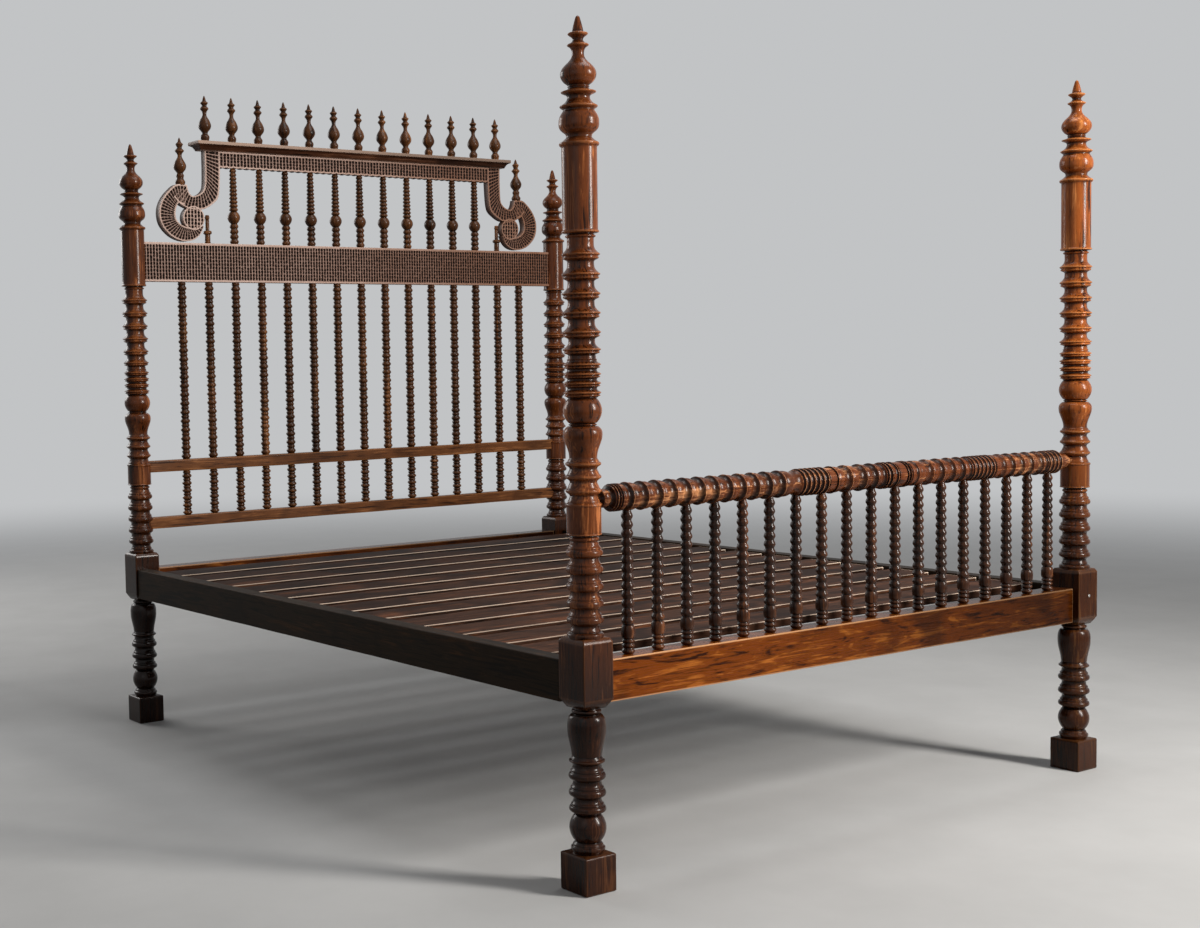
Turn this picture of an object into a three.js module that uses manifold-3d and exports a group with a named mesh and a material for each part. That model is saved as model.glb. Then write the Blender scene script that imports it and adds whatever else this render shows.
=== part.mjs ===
// A four poster bed in turned rosewood: low turned posts, a spindled footboard under a turned rail,
// and a tall spindled headboard with a gouge-carved rail and a cornice that ends in two scrolls.
// Millimetres. X runs across the bed, Y from foot to head, Z up; the floor is Z = 0.
import * as THREE from "three";
import { mergeVertices } from "three/addons/utils/BufferGeometryUtils.js";
import Module from "manifold-3d";

const wasm = await Module();
wasm.setup();

// Layout, between post axes
const POST_SPACING_X = 1680;
const POST_SPACING_Y = 2090;
const FIT_GAP = 0.3;

// Posts, from the floor up
const POST_SQUARE = 82;
const FOOT_BLOCK_HEIGHT = 80;
const LEG_TURNING_HEIGHT = 304;
const RAIL_BLOCK_HEIGHT = 145;
const LOWER_TURNING_HEIGHT = 217;
const LOWER_CYLINDER_HEIGHT = 56;
const MIDDLE_TURNING_HEIGHT = 562;
const UPPER_CYLINDER_HEIGHT = 163;
const CROWN_HEIGHT = 263;
const POST_SIDES = 8;

// Bed rails and slats
const RAIL_HEIGHT = 90;
const RAIL_RISE_IN_BLOCK = 7;
const SIDE_RAIL_THICKNESS = 44;
const END_RAIL_THICKNESS = 58;
const SIDE_RAIL_SETBACK = 5;
const END_RAIL_SETBACK = 16;
const TENON_LENGTH = 18;
const TENON_THICKNESS = 24;
const TENON_SHOULDER = 12;
const CLEAT_WIDTH = 25;
const CLEAT_HEIGHT = 30;
const SLAT_COUNT = 12;
const SLAT_WIDTH = 118;
const SLAT_THICKNESS = 20;
const SLAT_RECESS = 4;
const HEAD_SLAT_GAP = 76;
const FOOT_SLAT_GAP = 100;
const SLAT_END_CLEARANCE = 2;

// Footboard
const FOOT_SPINDLE_COUNT = 18;
const FOOT_SPINDLE_MARGIN = 117.5;
const FOOT_SPINDLE_RADIUS = 16;
const TURNED_RAIL_RISE = 283;
const TURNED_RAIL_RADIUS = 31;
const TURNED_RAIL_SIDES = 8;
const TURNED_RAIL_PIN_RADIUS = 11;
const DOWEL_RADIUS = 6;
const DOWEL_DEPTH = 14;
const SPINDLE_SIDES = 6;

// Headboard
const COLUMN_COUNT = 15;
const COLUMN_MARGIN = 164.5;
const COLUMN_RADIUS = 16;
const COLUMN_DOWEL_RADIUS = 8;
const BOARD_THICKNESS = 26;
const PLAIN_RAIL_THICKNESS = 30;
const PLAIN_RAIL_HEIGHT = 38;
const LOWER_RAIL_RISE = 70;
const MIDDLE_RAIL_RISE = 247;
const CARVED_RAIL_HEIGHT = 122;
const CARVED_RAIL_RISE_ON_CYLINDER = 6;
const ARCH_HEIGHT = 291;
const FRIEZE_HEIGHT = 52;
const CORNICE_HEIGHT = 28;
const CORNICE_DEPTH = 72;
const CORNICE_OVERHANG = 32;
const FINIAL_HEIGHT = 146;
const FINIAL_RADIUS = 20.5;
const FINIAL_SEAT = 1;
const STUB_HEIGHT = 90;
const STUB_RADIUS = 10;
const SCROLL_PIN_RADIUS = 5;
const SCROLL_PIN_DEPTH = 12;
const TONGUE_HEIGHT = 8;

// Each turned shape: height and radius, as shares of its own length and largest radius
const SHAPE_SHARES = {
  bead: [[0, 0.72], [0.3, 1], [0.7, 1]],
  ring: [[0, 0.68], [0.5, 1]],
  fine: [[0, 0.86], [0.5, 1]],
  ball: [[0, 0.72], [0.25, 0.95], [0.5, 1], [0.75, 0.95]],
  urn: [[0, 0.74], [0.7, 1], [0.95, 0.86]],
  pear: [[0, 0.6], [0.3, 1], [0.6, 0.78], [0.95, 0.36]],
  waist: [[0, 1]],
  plain: [[0, 1], [1, 1]],
  spire: [[0, 1], [1, 0.06]],
  cone: [[0, 0.4], [0.6, 0.8], [1, 0.9]],
};

// Turnings from bottom to top: shape, share of the length, share of the radius, repeats
const LEG_SHARES = [
  ["ring", 19, 0.9, 1], ["ball", 52, 0.94, 1], ["ring", 34, 0.95, 4], ["urn", 80, 0.97, 1],
  ["waist", 22, 0.7, 1],
];
const LOWER_TURNING_SHARES = [
  ["ring", 34, 0.93, 6], ["waist", 8, 0.7, 1], ["plain", 8, 0.92, 1],
];
const MIDDLE_TURNING_SHARES = [
  ["ring", 25, 0.95, 4], ["urn", 72, 0.98, 1], ["ball", 46, 0.99, 1], ["fine", 18, 0.93, 4],
  ["ring", 39, 0.97, 6], ["waist", 24, 0.67, 1], ["plain", 12, 0.95, 1],
];
const CROWN_SHARES = [
  ["plain", 15, 0.98, 1], ["waist", 10, 0.69, 1], ["ball", 48, 1, 1], ["ring", 22, 0.94, 1],
  ["ring", 22, 0.86, 1], ["pear", 70, 0.87, 1], ["ring", 24, 0.54, 1], ["ring", 20, 0.49, 1],
  ["spire", 34, 0.26, 1],
];
const CYLINDER_RADIUS_SHARE = 0.88;
const BLOCK_CORE_SHARE = 0.7;
const HOUSING_SHARE = 0.45;

// The turned rail from left to right
const TURNED_RAIL_SHARES = [
  ["cone", 41, 0.9, 1], ["fine", 7.5, 0.93, 2], ["ring", 42.7, 0.96, 12], ["plain", 47, 0.9, 1],
  ["fine", 18.7, 0.98, 4], ["ring", 51.5, 1, 4], ["fine", 18, 0.98, 2], ["plain", 30, 0.9, 1],
  ["fine", 10, 0.98, 2], ["ring", 46.4, 0.96, 5], ["fine", 25.3, 0.96, 3], ["ring", 43, 0.93, 6],
  ["fine", 18, 0.93, 2], ["waist", 0, 0.86, 1], ["waist", 12, 0.4, 1],
];
const FOOT_SPINDLE_SHARES = [
  ["ring", 15, 0.87, 2], ["bead", 28, 1, 1], ["ring", 36, 0.9, 3], ["ring", 36, 0.84, 1],
  ["ring", 34, 0.78, 1], ["ring", 32, 0.71, 1],
];
const SHORT_COLUMN_SHARES = [["ring", 46, 1, 3]];
const LONG_COLUMN_SHARES = [
  ["bead", 40, 1, 1], ["plain", 200, 0.84, 1], ["bead", 30, 1, 1], ["plain", 200, 0.84, 1],
];
const UPPER_COLUMN_SHARES = [
  ["ring", 36, 0.9, 1], ["bead", 42, 1.25, 1], ["ring", 50, 0.88, 2], ["ring", 50, 0.75, 1],
];
const FINIAL_SHARES = [
  ["waist", 30, 0.7, 1], ["pear", 62, 1, 1], ["ring", 26, 0.66, 1], ["spire", 28, 0.6, 1],
];
const STUB_SHARES = [["bead", 50, 1, 1], ["ring", 20, 0.8, 1], ["spire", 20, 0.6, 1]];
const TURNED_RAIL_SEAT_SHARE = 0.62;
const CORNICE_LEVEL_SHARES = [[0, 1], [0.25, 0.8], [0.62, 0.2], [0.62, 0], [1, 0]];
const FINIAL_SEAT_SHARE = 6.95;

// Scroll outline: distance from the bed's middle in column pitches, height in arch heights
const SCROLL_OUTLINE_SHARES = [
  [6.114, 1], [6.114, 0.625], [6.197, 0.562], [6.342, 0.522], [6.549, 0.502], [6.694, 0.536],
  [6.764, 0.629], [7.125, 0.629], [7.378, 0.567], [7.612, 0.481], [7.762, 0.383], [7.793, 0.285],
  [7.72, 0.189], [7.523, 0.105], [7.261, 0.047], [7.05, 0], [6.8, 0], [6.596, 0.034],
  [6.338, 0.096], [6.181, 0.192], [6.155, 0.266], [6.253, 0.333], [6.356, 0.363], [6.145, 0.371],
  [5.886, 0.418], [5.668, 0.481], [5.581, 0.583], [5.549, 0.715], [5.549, 1],
];
const SCROLL_EYE_SHARES = [
  [6.856, 0.388], [6.756, 0.352], [6.902, 0.32], [6.939, 0.265], [6.87, 0.21], [6.75, 0.18],
  [6.896, 0.175], [7.098, 0.213], [7.212, 0.28], [7.192, 0.366], [7.082, 0.425],
];
const SCROLL_PIN_SHARE = 6.92;
const LEG_INNER_SHARE = 5.549;
const LEG_OUTER_SHARE = 6.114;

// Colours of the polished wood
const ROSEWOOD = { color: 0x5a2f1a, roughness: 0.32, metalness: 0 };
const DARK_ROSEWOOD = { color: 0x3a1f14, roughness: 0.35, metalness: 0 };
const CARVED_WOOD = { color: 0x6a4434, roughness: 0.6, metalness: 0 };
const SLAT_WOOD = { color: 0x4a3128, roughness: 0.5, metalness: 0 };

// Sizes that follow
const postX = POST_SPACING_X / 2;
const postY = POST_SPACING_Y / 2;
const postRadius = POST_SQUARE / 2;
const legTop = FOOT_BLOCK_HEIGHT + LEG_TURNING_HEIGHT;
const blockTop = legTop + RAIL_BLOCK_HEIGHT;
const lowerCylinder = blockTop + LOWER_TURNING_HEIGHT;
const middleTurning = lowerCylinder + LOWER_CYLINDER_HEIGHT;
const upperCylinder = middleTurning + MIDDLE_TURNING_HEIGHT;
const crown = upperCylinder + UPPER_CYLINDER_HEIGHT;
const postTop = crown + CROWN_HEIGHT;
const railBottom = legTop + RAIL_RISE_IN_BLOCK;
const railTop = railBottom + RAIL_HEIGHT;
const turnedRailZ = blockTop + TURNED_RAIL_RISE;
const lowerRailZ = blockTop + LOWER_RAIL_RISE;
const middleRailZ = blockTop + MIDDLE_RAIL_RISE;
const carvedRailZ = upperCylinder + CARVED_RAIL_RISE_ON_CYLINDER;
const carvedRailTop = carvedRailZ + CARVED_RAIL_HEIGHT;
const archTop = carvedRailTop + ARCH_HEIGHT;
const friezeZ = archTop - FRIEZE_HEIGHT;
const corniceTop = archTop + CORNICE_HEIGHT;
const columnPitch = (POST_SPACING_X - 2 * COLUMN_MARGIN) / (COLUMN_COUNT - 1);
const spindlePitch = (POST_SPACING_X - 2 * FOOT_SPINDLE_MARGIN) / (FOOT_SPINDLE_COUNT - 1);
const housingX = postX - HOUSING_SHARE * postRadius;
const endRailY = postY + postRadius - END_RAIL_SETBACK - END_RAIL_THICKNESS / 2;
const sideRailX = postX + postRadius - SIDE_RAIL_SETBACK - SIDE_RAIL_THICKNESS / 2;
const slatTop = railTop - SLAT_RECESS;
const slatBottom = slatTop - SLAT_THICKNESS;
const deckLength = 2 * endRailY - END_RAIL_THICKNESS;
const slatRun = deckLength - HEAD_SLAT_GAP - FOOT_SLAT_GAP - SLAT_WIDTH;
const slatPitch = slatRun / (SLAT_COUNT - 1);

const bed = new THREE.Group();
bed.name = "four_poster_bed";

// A manifold solid of a closed three.js geometry
function solid(geometry) {
  const bare = geometry.clone();
  bare.deleteAttribute("normal");
  bare.deleteAttribute("uv");
  const merged = mergeVertices(bare);
  const vertProperties = new Float32Array(merged.attributes.position.array);
  const triVerts = new Uint32Array(merged.index.array);
  return new wasm.Manifold(new wasm.Mesh({ numProp: 3, vertProperties, triVerts }));
}

function addNode(name, body, look) {
  const mesh = body.getMesh();
  const geometry = new THREE.BufferGeometry();
  geometry.setAttribute("position", new THREE.BufferAttribute(mesh.vertProperties, 3));
  geometry.setIndex(new THREE.BufferAttribute(mesh.triVerts, 1));
  geometry.computeVertexNormals();
  const node = new THREE.Mesh(geometry, new THREE.MeshStandardMaterial(look));
  node.name = name;
  bed.add(node);
}

// A box between two corners
function box(low, high) {
  const size = high.map((value, axis) => value - low[axis]);
  const middle = high.map((value, axis) => (value + low[axis]) / 2);
  return solid(new THREE.BoxGeometry(...size).translate(...middle));
}

// A box given by its middle and its size
function block(middle, size) {
  const low = middle.map((value, axis) => value - size[axis] / 2);
  const high = middle.map((value, axis) => value + size[axis] / 2);
  return box(low, high);
}

// The points of a turning laid out from one height over a length
function profile(shapeShares, start, length, radius) {
  const total = shapeShares.reduce((sum, [, share, , repeats]) => sum + share * repeats, 0);
  const points = [];
  let height = start;
  for (const [shape, share, radiusShare, repeats] of shapeShares) {
    const step = (share / total) * length;
    for (let turn = 0; turn < repeats; turn += 1) {
      for (const [heightShare, widthShare] of SHAPE_SHARES[shape]) {
        points.push([widthShare * radiusShare * radius, height + heightShare * step]);
      }
      height += step;
    }
  }
  return points;
}

// A solid of revolution about Z through profile points, closed on the axis at both ends
function turned(points, sides) {
  const outline = points.map(([radius, height]) => new THREE.Vector2(radius, height));
  outline.unshift(new THREE.Vector2(0, outline[0].y));
  outline.push(new THREE.Vector2(0, outline[outline.length - 1].y));
  return solid(new THREE.LatheGeometry(outline, sides).rotateX(Math.PI / 2));
}

// The profile points of a plain round length
function dowel(radius, low, high) {
  return [[radius, low], [radius, high]];
}

function pin(radius, low, high, sides) {
  return turned(dowel(radius, low, high), sides);
}

function mirrored(body) {
  return body.mirror([1, 0, 0]);
}

function join(bodies) {
  return bodies.reduce((whole, body) => whole.add(body));
}

function cut(body, tools) {
  return tools.reduce((rest, tool) => rest.subtract(tool), body);
}

// The turned post on its own axis, with its two square blocks
function postBody() {
  const cylinderRadius = CYLINDER_RADIUS_SHARE * postRadius;
  const coreRadius = BLOCK_CORE_SHARE * postRadius;
  const points = [
    [coreRadius, FIT_GAP],
    [coreRadius, FOOT_BLOCK_HEIGHT],
    ...profile(LEG_SHARES, FOOT_BLOCK_HEIGHT, LEG_TURNING_HEIGHT, postRadius),
    [coreRadius, legTop],
    [coreRadius, blockTop],
    ...profile(LOWER_TURNING_SHARES, blockTop, LOWER_TURNING_HEIGHT, postRadius),
    [cylinderRadius, lowerCylinder],
    [cylinderRadius, middleTurning],
    ...profile(MIDDLE_TURNING_SHARES, middleTurning, MIDDLE_TURNING_HEIGHT, postRadius),
    [cylinderRadius, upperCylinder],
    [cylinderRadius, crown],
    ...profile(CROWN_SHARES, crown, CROWN_HEIGHT, postRadius),
  ];
  const footMiddle = [0, 0, FOOT_BLOCK_HEIGHT / 2];
  const railMiddle = [0, 0, legTop + RAIL_BLOCK_HEIGHT / 2];
  return join([
    turned(points, POST_SIDES),
    block(footMiddle, [POST_SQUARE, POST_SQUARE, FOOT_BLOCK_HEIGHT]),
    block(railMiddle, [POST_SQUARE, POST_SQUARE, RAIL_BLOCK_HEIGHT]),
  ]);
}

// Solids of the rails, each made once with no gap and once grown by the gap as its own mortise
function sideRail(side, gap) {
  const x = side * sideRailX;
  const end = postY - postRadius;
  const z = railBottom + RAIL_HEIGHT / 2;
  const tenonLength = 2 * (end + TENON_LENGTH + gap);
  const tenonHeight = RAIL_HEIGHT - 2 * TENON_SHOULDER + 2 * gap;
  return block([x, 0, z], [TENON_THICKNESS + 2 * gap, tenonLength, tenonHeight]);
}

function endRail(side, gap) {
  const y = side * endRailY;
  const end = postX - postRadius;
  const z = railBottom + RAIL_HEIGHT / 2;
  const tenonLength = 2 * (end + TENON_LENGTH + gap);
  const tenonHeight = RAIL_HEIGHT - 2 * TENON_SHOULDER + 2 * gap;
  return block([0, y, z], [tenonLength, TENON_THICKNESS + 2 * gap, tenonHeight]);
}

// A headboard rail runs at its full section into the turned posts
function housedRail(bottom, height, thickness, gap) {
  const middle = [0, postY, bottom + height / 2];
  return block(middle, [2 * (housingX + gap), thickness + 2 * gap, height + 2 * gap]);
}

function lowerRail(gap) {
  return housedRail(lowerRailZ, PLAIN_RAIL_HEIGHT, PLAIN_RAIL_THICKNESS, gap);
}

function middleRail(gap) {
  return housedRail(middleRailZ, PLAIN_RAIL_HEIGHT, PLAIN_RAIL_THICKNESS, gap);
}

function carvedRail(gap) {
  return housedRail(carvedRailZ, CARVED_RAIL_HEIGHT, BOARD_THICKNESS, gap);
}

// The pins at the ends of the turned rail, as one rod along X
function turnedRailPins(gap) {
  const reach = housingX + gap;
  const rod = pin(TURNED_RAIL_PIN_RADIUS + gap, -reach, reach, TURNED_RAIL_SIDES);
  return rod.rotate([0, 90, 0]).translate([0, -postY, turnedRailZ]);
}

function addPosts() {
  const plain = postBody();
  const mortises = {
    foot: [endRail(-1, FIT_GAP), turnedRailPins(FIT_GAP)],
    head: [endRail(1, FIT_GAP), lowerRail(FIT_GAP), middleRail(FIT_GAP), carvedRail(FIT_GAP)],
  };
  for (const [end, endSign] of [["foot", -1], ["head", 1]]) {
    for (const [side, sideSign] of [["left", -1], ["right", 1]]) {
      const standing = plain.translate([sideSign * postX, endSign * postY, 0]);
      const post = cut(standing, [sideRail(sideSign, FIT_GAP), ...mortises[end]]);
      addNode(`post_${end}_${side}`, post, ROSEWOOD);
    }
  }
}

function addSideRails() {
  const length = 2 * (postY - postRadius - FIT_GAP);
  const innerX = sideRailX - SIDE_RAIL_THICKNESS / 2;
  const cleatTop = slatBottom - FIT_GAP;
  for (const [side, sign] of [["left", -1], ["right", 1]]) {
    const rail = block([sign * sideRailX, 0, railBottom + RAIL_HEIGHT / 2],
      [SIDE_RAIL_THICKNESS, length, RAIL_HEIGHT]);
    const cleat = block([sign * (innerX - CLEAT_WIDTH / 2), 0, cleatTop - CLEAT_HEIGHT / 2],
      [CLEAT_WIDTH + FIT_GAP, length, CLEAT_HEIGHT]);
    addNode(`side_rail_${side}`, join([rail, cleat, sideRail(sign, 0)]), DARK_ROSEWOOD);
  }
}

function addEndRails() {
  const length = 2 * (postX - postRadius - FIT_GAP);
  const z = railBottom + RAIL_HEIGHT / 2;
  for (const [end, sign] of [["foot", -1], ["head", 1]]) {
    const rail = block([0, sign * endRailY, z], [length, END_RAIL_THICKNESS, RAIL_HEIGHT]);
    const sockets = end === "foot" ? footSpindleSockets() : [];
    addNode(`${end}_rail`, cut(join([rail, endRail(sign, 0)]), sockets), ROSEWOOD);
  }
}

function addSlats() {
  const reach = sideRailX - SIDE_RAIL_THICKNESS / 2 - SLAT_END_CLEARANCE;
  const headEnd = deckLength / 2 - HEAD_SLAT_GAP;
  for (let index = 0; index < SLAT_COUNT; index += 1) {
    const y = headEnd - SLAT_WIDTH / 2 - index * slatPitch;
    const slat = block([0, y, slatBottom + SLAT_THICKNESS / 2],
      [2 * reach, SLAT_WIDTH, SLAT_THICKNESS]);
    addNode(`slat_${numbered(index)}`, slat, SLAT_WOOD);
  }
}

function numbered(index) {
  return String(index + 1).padStart(2, "0");
}

function footSpindleX(index) {
  return FOOT_SPINDLE_MARGIN - postX + index * spindlePitch;
}

// The dowel at the top of a footboard spindle ends inside the slimmest part of the turned rail
function footSpindleTop() {
  return turnedRailZ - TURNED_RAIL_SEAT_SHARE * TURNED_RAIL_RADIUS + DOWEL_DEPTH / 2;
}

function footDowel(index, gap) {
  const rod = pin(DOWEL_RADIUS + gap, railTop - DOWEL_DEPTH - gap, footSpindleTop() + gap,
    SPINDLE_SIDES);
  return rod.translate([footSpindleX(index), -postY, 0]);
}

function footSpindleSockets() {
  const sockets = [];
  for (let index = 0; index < FOOT_SPINDLE_COUNT; index += 1) {
    sockets.push(footDowel(index, FIT_GAP));
  }
  return sockets;
}

function addFootboard() {
  const reach = postX - postRadius;
  const pieces = profile(TURNED_RAIL_SHARES, -reach, 2 * reach, TURNED_RAIL_RADIUS);
  const barrel = turned(pieces, TURNED_RAIL_SIDES).rotate([0, 90, 0]);
  const rail = join([barrel.translate([0, -postY, turnedRailZ]), turnedRailPins(0)]);
  addNode("footboard_turned_rail", cut(rail, footSpindleSockets()), ROSEWOOD);
  const start = railTop + FIT_GAP;
  const end = turnedRailZ - TURNED_RAIL_RADIUS - FIT_GAP;
  const body = turned([
    ...dowel(DOWEL_RADIUS, railTop - DOWEL_DEPTH, start),
    ...profile(FOOT_SPINDLE_SHARES, start, end - start, FOOT_SPINDLE_RADIUS),
    ...dowel(DOWEL_RADIUS, end, footSpindleTop()),
  ], SPINDLE_SIDES);
  for (let index = 0; index < FOOT_SPINDLE_COUNT; index += 1) {
    const spindle = body.translate([footSpindleX(index), -postY, 0]);
    addNode(`footboard_spindle_${numbered(index)}`, spindle, DARK_ROSEWOOD);
  }
}

function columnX(index) {
  return COLUMN_MARGIN - postX + index * columnPitch;
}

function stretch(shapeShares, low, high, radius) {
  const start = low + FIT_GAP;
  return profile(shapeShares, start, high - FIT_GAP - start, radius);
}

// The outer two columns each side stop at the carved rail, the next one out in a stub above it
function columnKind(index) {
  const fromEnd = Math.min(index, COLUMN_COUNT - 1 - index);
  return ["short", "stub"][fromEnd] ?? "full";
}

function columnBody(kind) {
  const lowerTop = lowerRailZ + PLAIN_RAIL_HEIGHT;
  const middleTop = middleRailZ + PLAIN_RAIL_HEIGHT;
  const points = [
    ...dowel(COLUMN_DOWEL_RADIUS, lowerTop - DOWEL_DEPTH, lowerTop + FIT_GAP),
    ...stretch(SHORT_COLUMN_SHARES, lowerTop, middleRailZ, COLUMN_RADIUS),
    ...dowel(COLUMN_DOWEL_RADIUS, middleRailZ - FIT_GAP, middleTop + FIT_GAP),
    ...stretch(LONG_COLUMN_SHARES, middleTop, carvedRailZ, COLUMN_RADIUS),
    ...columnEnd(kind),
  ];
  return turned(points, SPINDLE_SIDES);
}

// What a column does at and above the carved rail
function columnEnd(kind) {
  if (kind === "short") {
    return dowel(COLUMN_DOWEL_RADIUS, carvedRailZ - FIT_GAP, carvedRailZ + DOWEL_DEPTH);
  }
  const through = dowel(COLUMN_DOWEL_RADIUS, carvedRailZ - FIT_GAP, carvedRailTop + FIT_GAP);
  if (kind === "stub") {
    return [
      ...through,
      ...profile(STUB_SHARES, carvedRailTop + FIT_GAP, STUB_HEIGHT, STUB_RADIUS),
    ];
  }
  return [
    ...through,
    ...stretch(UPPER_COLUMN_SHARES, carvedRailTop, friezeZ, COLUMN_RADIUS),
    ...dowel(COLUMN_DOWEL_RADIUS, friezeZ - FIT_GAP, friezeZ + DOWEL_DEPTH),
  ];
}

// The hole for a column's dowels, from inside the lower rail to where that column ends
function columnBores() {
  const bottom = lowerRailZ + PLAIN_RAIL_HEIGHT - DOWEL_DEPTH - FIT_GAP;
  const tops = {
    short: carvedRailZ + DOWEL_DEPTH + FIT_GAP,
    stub: carvedRailTop + DOWEL_DEPTH,
    full: friezeZ + DOWEL_DEPTH + FIT_GAP,
  };
  const bores = [];
  for (let index = 0; index < COLUMN_COUNT; index += 1) {
    const bore = pin(COLUMN_DOWEL_RADIUS + FIT_GAP, bottom, tops[columnKind(index)], SPINDLE_SIDES);
    bores.push(bore.translate([columnX(index), postY, 0]));
  }
  return bores;
}

function scrollPin(gap) {
  const rod = pin(SCROLL_PIN_RADIUS + gap, carvedRailTop - SCROLL_PIN_DEPTH - gap,
    carvedRailTop + SCROLL_PIN_DEPTH, SPINDLE_SIDES);
  return rod.translate([SCROLL_PIN_SHARE * columnPitch, postY, 0]);
}

// The tongue on top of a scroll's leg, let into the cornice
function legTongue(gap) {
  const quarter = (LEG_OUTER_SHARE - LEG_INNER_SHARE) / 4;
  const inner = (LEG_INNER_SHARE + quarter) * columnPitch;
  const outer = (LEG_OUTER_SHARE - quarter) * columnPitch;
  const half = BOARD_THICKNESS / 4;
  return box([inner - gap, postY - half - gap, archTop - FRIEZE_HEIGHT / 2],
    [outer + gap, postY + half + gap, archTop + TONGUE_HEIGHT + gap]);
}

function finial(x, seat) {
  const start = seat - FINIAL_SEAT;
  const points = profile(FINIAL_SHARES, start, FINIAL_HEIGHT, FINIAL_RADIUS);
  return turned(points, SPINDLE_SIDES).translate([x, postY, 0]);
}

// The right-hand scroll: an extruded outline with its eye, its finial, its pin and its tongue
function scrollBody() {
  const height = ARCH_HEIGHT - 2 * FIT_GAP;
  const point = ([u, v]) => new THREE.Vector2(u * columnPitch, v * height);
  const outline = new THREE.Shape(SCROLL_OUTLINE_SHARES.map(point));
  outline.holes.push(new THREE.Path(SCROLL_EYE_SHARES.map(point)));
  const board = new THREE.ExtrudeGeometry(outline, { depth: BOARD_THICKNESS, bevelEnabled: false });
  board.rotateX(Math.PI / 2);
  board.translate(0, postY + BOARD_THICKNESS / 2, carvedRailTop + FIT_GAP);
  const cap = Math.max(...SCROLL_OUTLINE_SHARES.slice(6, 8).map(([, v]) => v));
  const top = finial(FINIAL_SEAT_SHARE * columnPitch, carvedRailTop + FIT_GAP + cap * height);
  return join([solid(board), top, scrollPin(0), legTongue(0)]);
}

// A slab whose sides step in and out with height: share of the height, share of the overhang
function mouldedSlab(halfLength, halfDepth, bottom) {
  const steps = CORNICE_LEVEL_SHARES.length - 1;
  const slab = new THREE.BoxGeometry(1, 1, 1, 1, 1, steps);
  const place = slab.attributes.position;
  for (let index = 0; index < place.count; index += 1) {
    const level = Math.round((place.getZ(index) + 1 / 2) * steps);
    const [heightShare, insetShare] = CORNICE_LEVEL_SHARES[level];
    const inset = insetShare * CORNICE_OVERHANG / 2;
    const x = Math.sign(place.getX(index)) * (halfLength - inset);
    const y = Math.sign(place.getY(index)) * (halfDepth - inset);
    place.setXYZ(index, x, postY + y, bottom + heightShare * CORNICE_HEIGHT);
  }
  return solid(slab);
}

function corniceBody() {
  const friezeEnd = LEG_INNER_SHARE * columnPitch - FIT_GAP;
  const frieze = box([-friezeEnd, postY - BOARD_THICKNESS / 2, friezeZ],
    [friezeEnd, postY + BOARD_THICKNESS / 2, archTop + FIT_GAP]);
  const halfLength = LEG_OUTER_SHARE * columnPitch + CORNICE_OVERHANG;
  const cornice = mouldedSlab(halfLength, CORNICE_DEPTH / 2, archTop);
  const finials = [];
  for (let index = 1; index < COLUMN_COUNT - 1; index += 1) {
    finials.push(finial(columnX(index), corniceTop));
  }
  return join([frieze, cornice, ...finials]);
}

function addHeadboard() {
  const bores = columnBores();
  addNode("headboard_lower_rail", cut(lowerRail(0), bores), ROSEWOOD);
  addNode("headboard_middle_rail", cut(middleRail(0), bores), ROSEWOOD);
  const pins = [scrollPin(FIT_GAP), mirrored(scrollPin(FIT_GAP))];
  addNode("headboard_carved_rail", cut(carvedRail(0), [...bores, ...pins]), CARVED_WOOD);
  const bodies = new Map();
  for (const kind of ["short", "stub", "full"]) {
    bodies.set(kind, columnBody(kind));
  }
  for (let index = 0; index < COLUMN_COUNT; index += 1) {
    const column = bodies.get(columnKind(index)).translate([columnX(index), postY, 0]);
    addNode(`headboard_column_${numbered(index)}`, column, DARK_ROSEWOOD);
  }
  const scroll = scrollBody();
  addNode("headboard_scroll_right", scroll, CARVED_WOOD);
  addNode("headboard_scroll_left", mirrored(scroll), CARVED_WOOD);
  const tongues = [legTongue(FIT_GAP), mirrored(legTongue(FIT_GAP))];
  addNode("headboard_cornice", cut(corniceBody(), [...bores, ...tongues]), CARVED_WOOD);
}

addPosts();
addSideRails();
addEndRails();
addSlats();
addFootboard();
addHeadboard();

export default bed;
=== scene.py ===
"""Four poster bed in polished rosewood: the looks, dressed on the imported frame. Metres, Z up."""
import math

import bpy
import numpy as np
from mathutils import Matrix, Vector, noise


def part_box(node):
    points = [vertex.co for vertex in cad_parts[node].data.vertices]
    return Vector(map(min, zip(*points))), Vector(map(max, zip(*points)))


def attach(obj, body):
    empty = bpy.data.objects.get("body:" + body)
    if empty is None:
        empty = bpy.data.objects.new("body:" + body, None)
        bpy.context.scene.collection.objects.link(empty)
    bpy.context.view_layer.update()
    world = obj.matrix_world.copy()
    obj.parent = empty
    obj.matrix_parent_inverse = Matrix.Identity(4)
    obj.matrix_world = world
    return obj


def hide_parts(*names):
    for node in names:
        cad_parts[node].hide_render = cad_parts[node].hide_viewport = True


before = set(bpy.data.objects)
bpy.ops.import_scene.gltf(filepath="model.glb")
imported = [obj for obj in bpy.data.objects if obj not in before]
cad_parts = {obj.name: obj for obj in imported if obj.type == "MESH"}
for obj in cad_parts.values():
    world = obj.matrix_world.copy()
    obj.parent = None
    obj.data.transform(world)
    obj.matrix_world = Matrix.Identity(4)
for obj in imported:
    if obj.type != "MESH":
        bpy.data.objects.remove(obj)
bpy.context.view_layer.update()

MM = 0.001
BODY = "root"

# Camera, from a fit of the post ends and rails to the photograph
CAMERA_PLACE = (-3.0556, -3.6030, 1.0955)
CAMERA_YAW_DEG = 33.22
CAMERA_PITCH_DEG = -3.42
CAMERA_ROLL_DEG = -1.20
LENS_MM = 49.31
SHIFT_X = 0.1983
SENSOR_MM = 36

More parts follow.
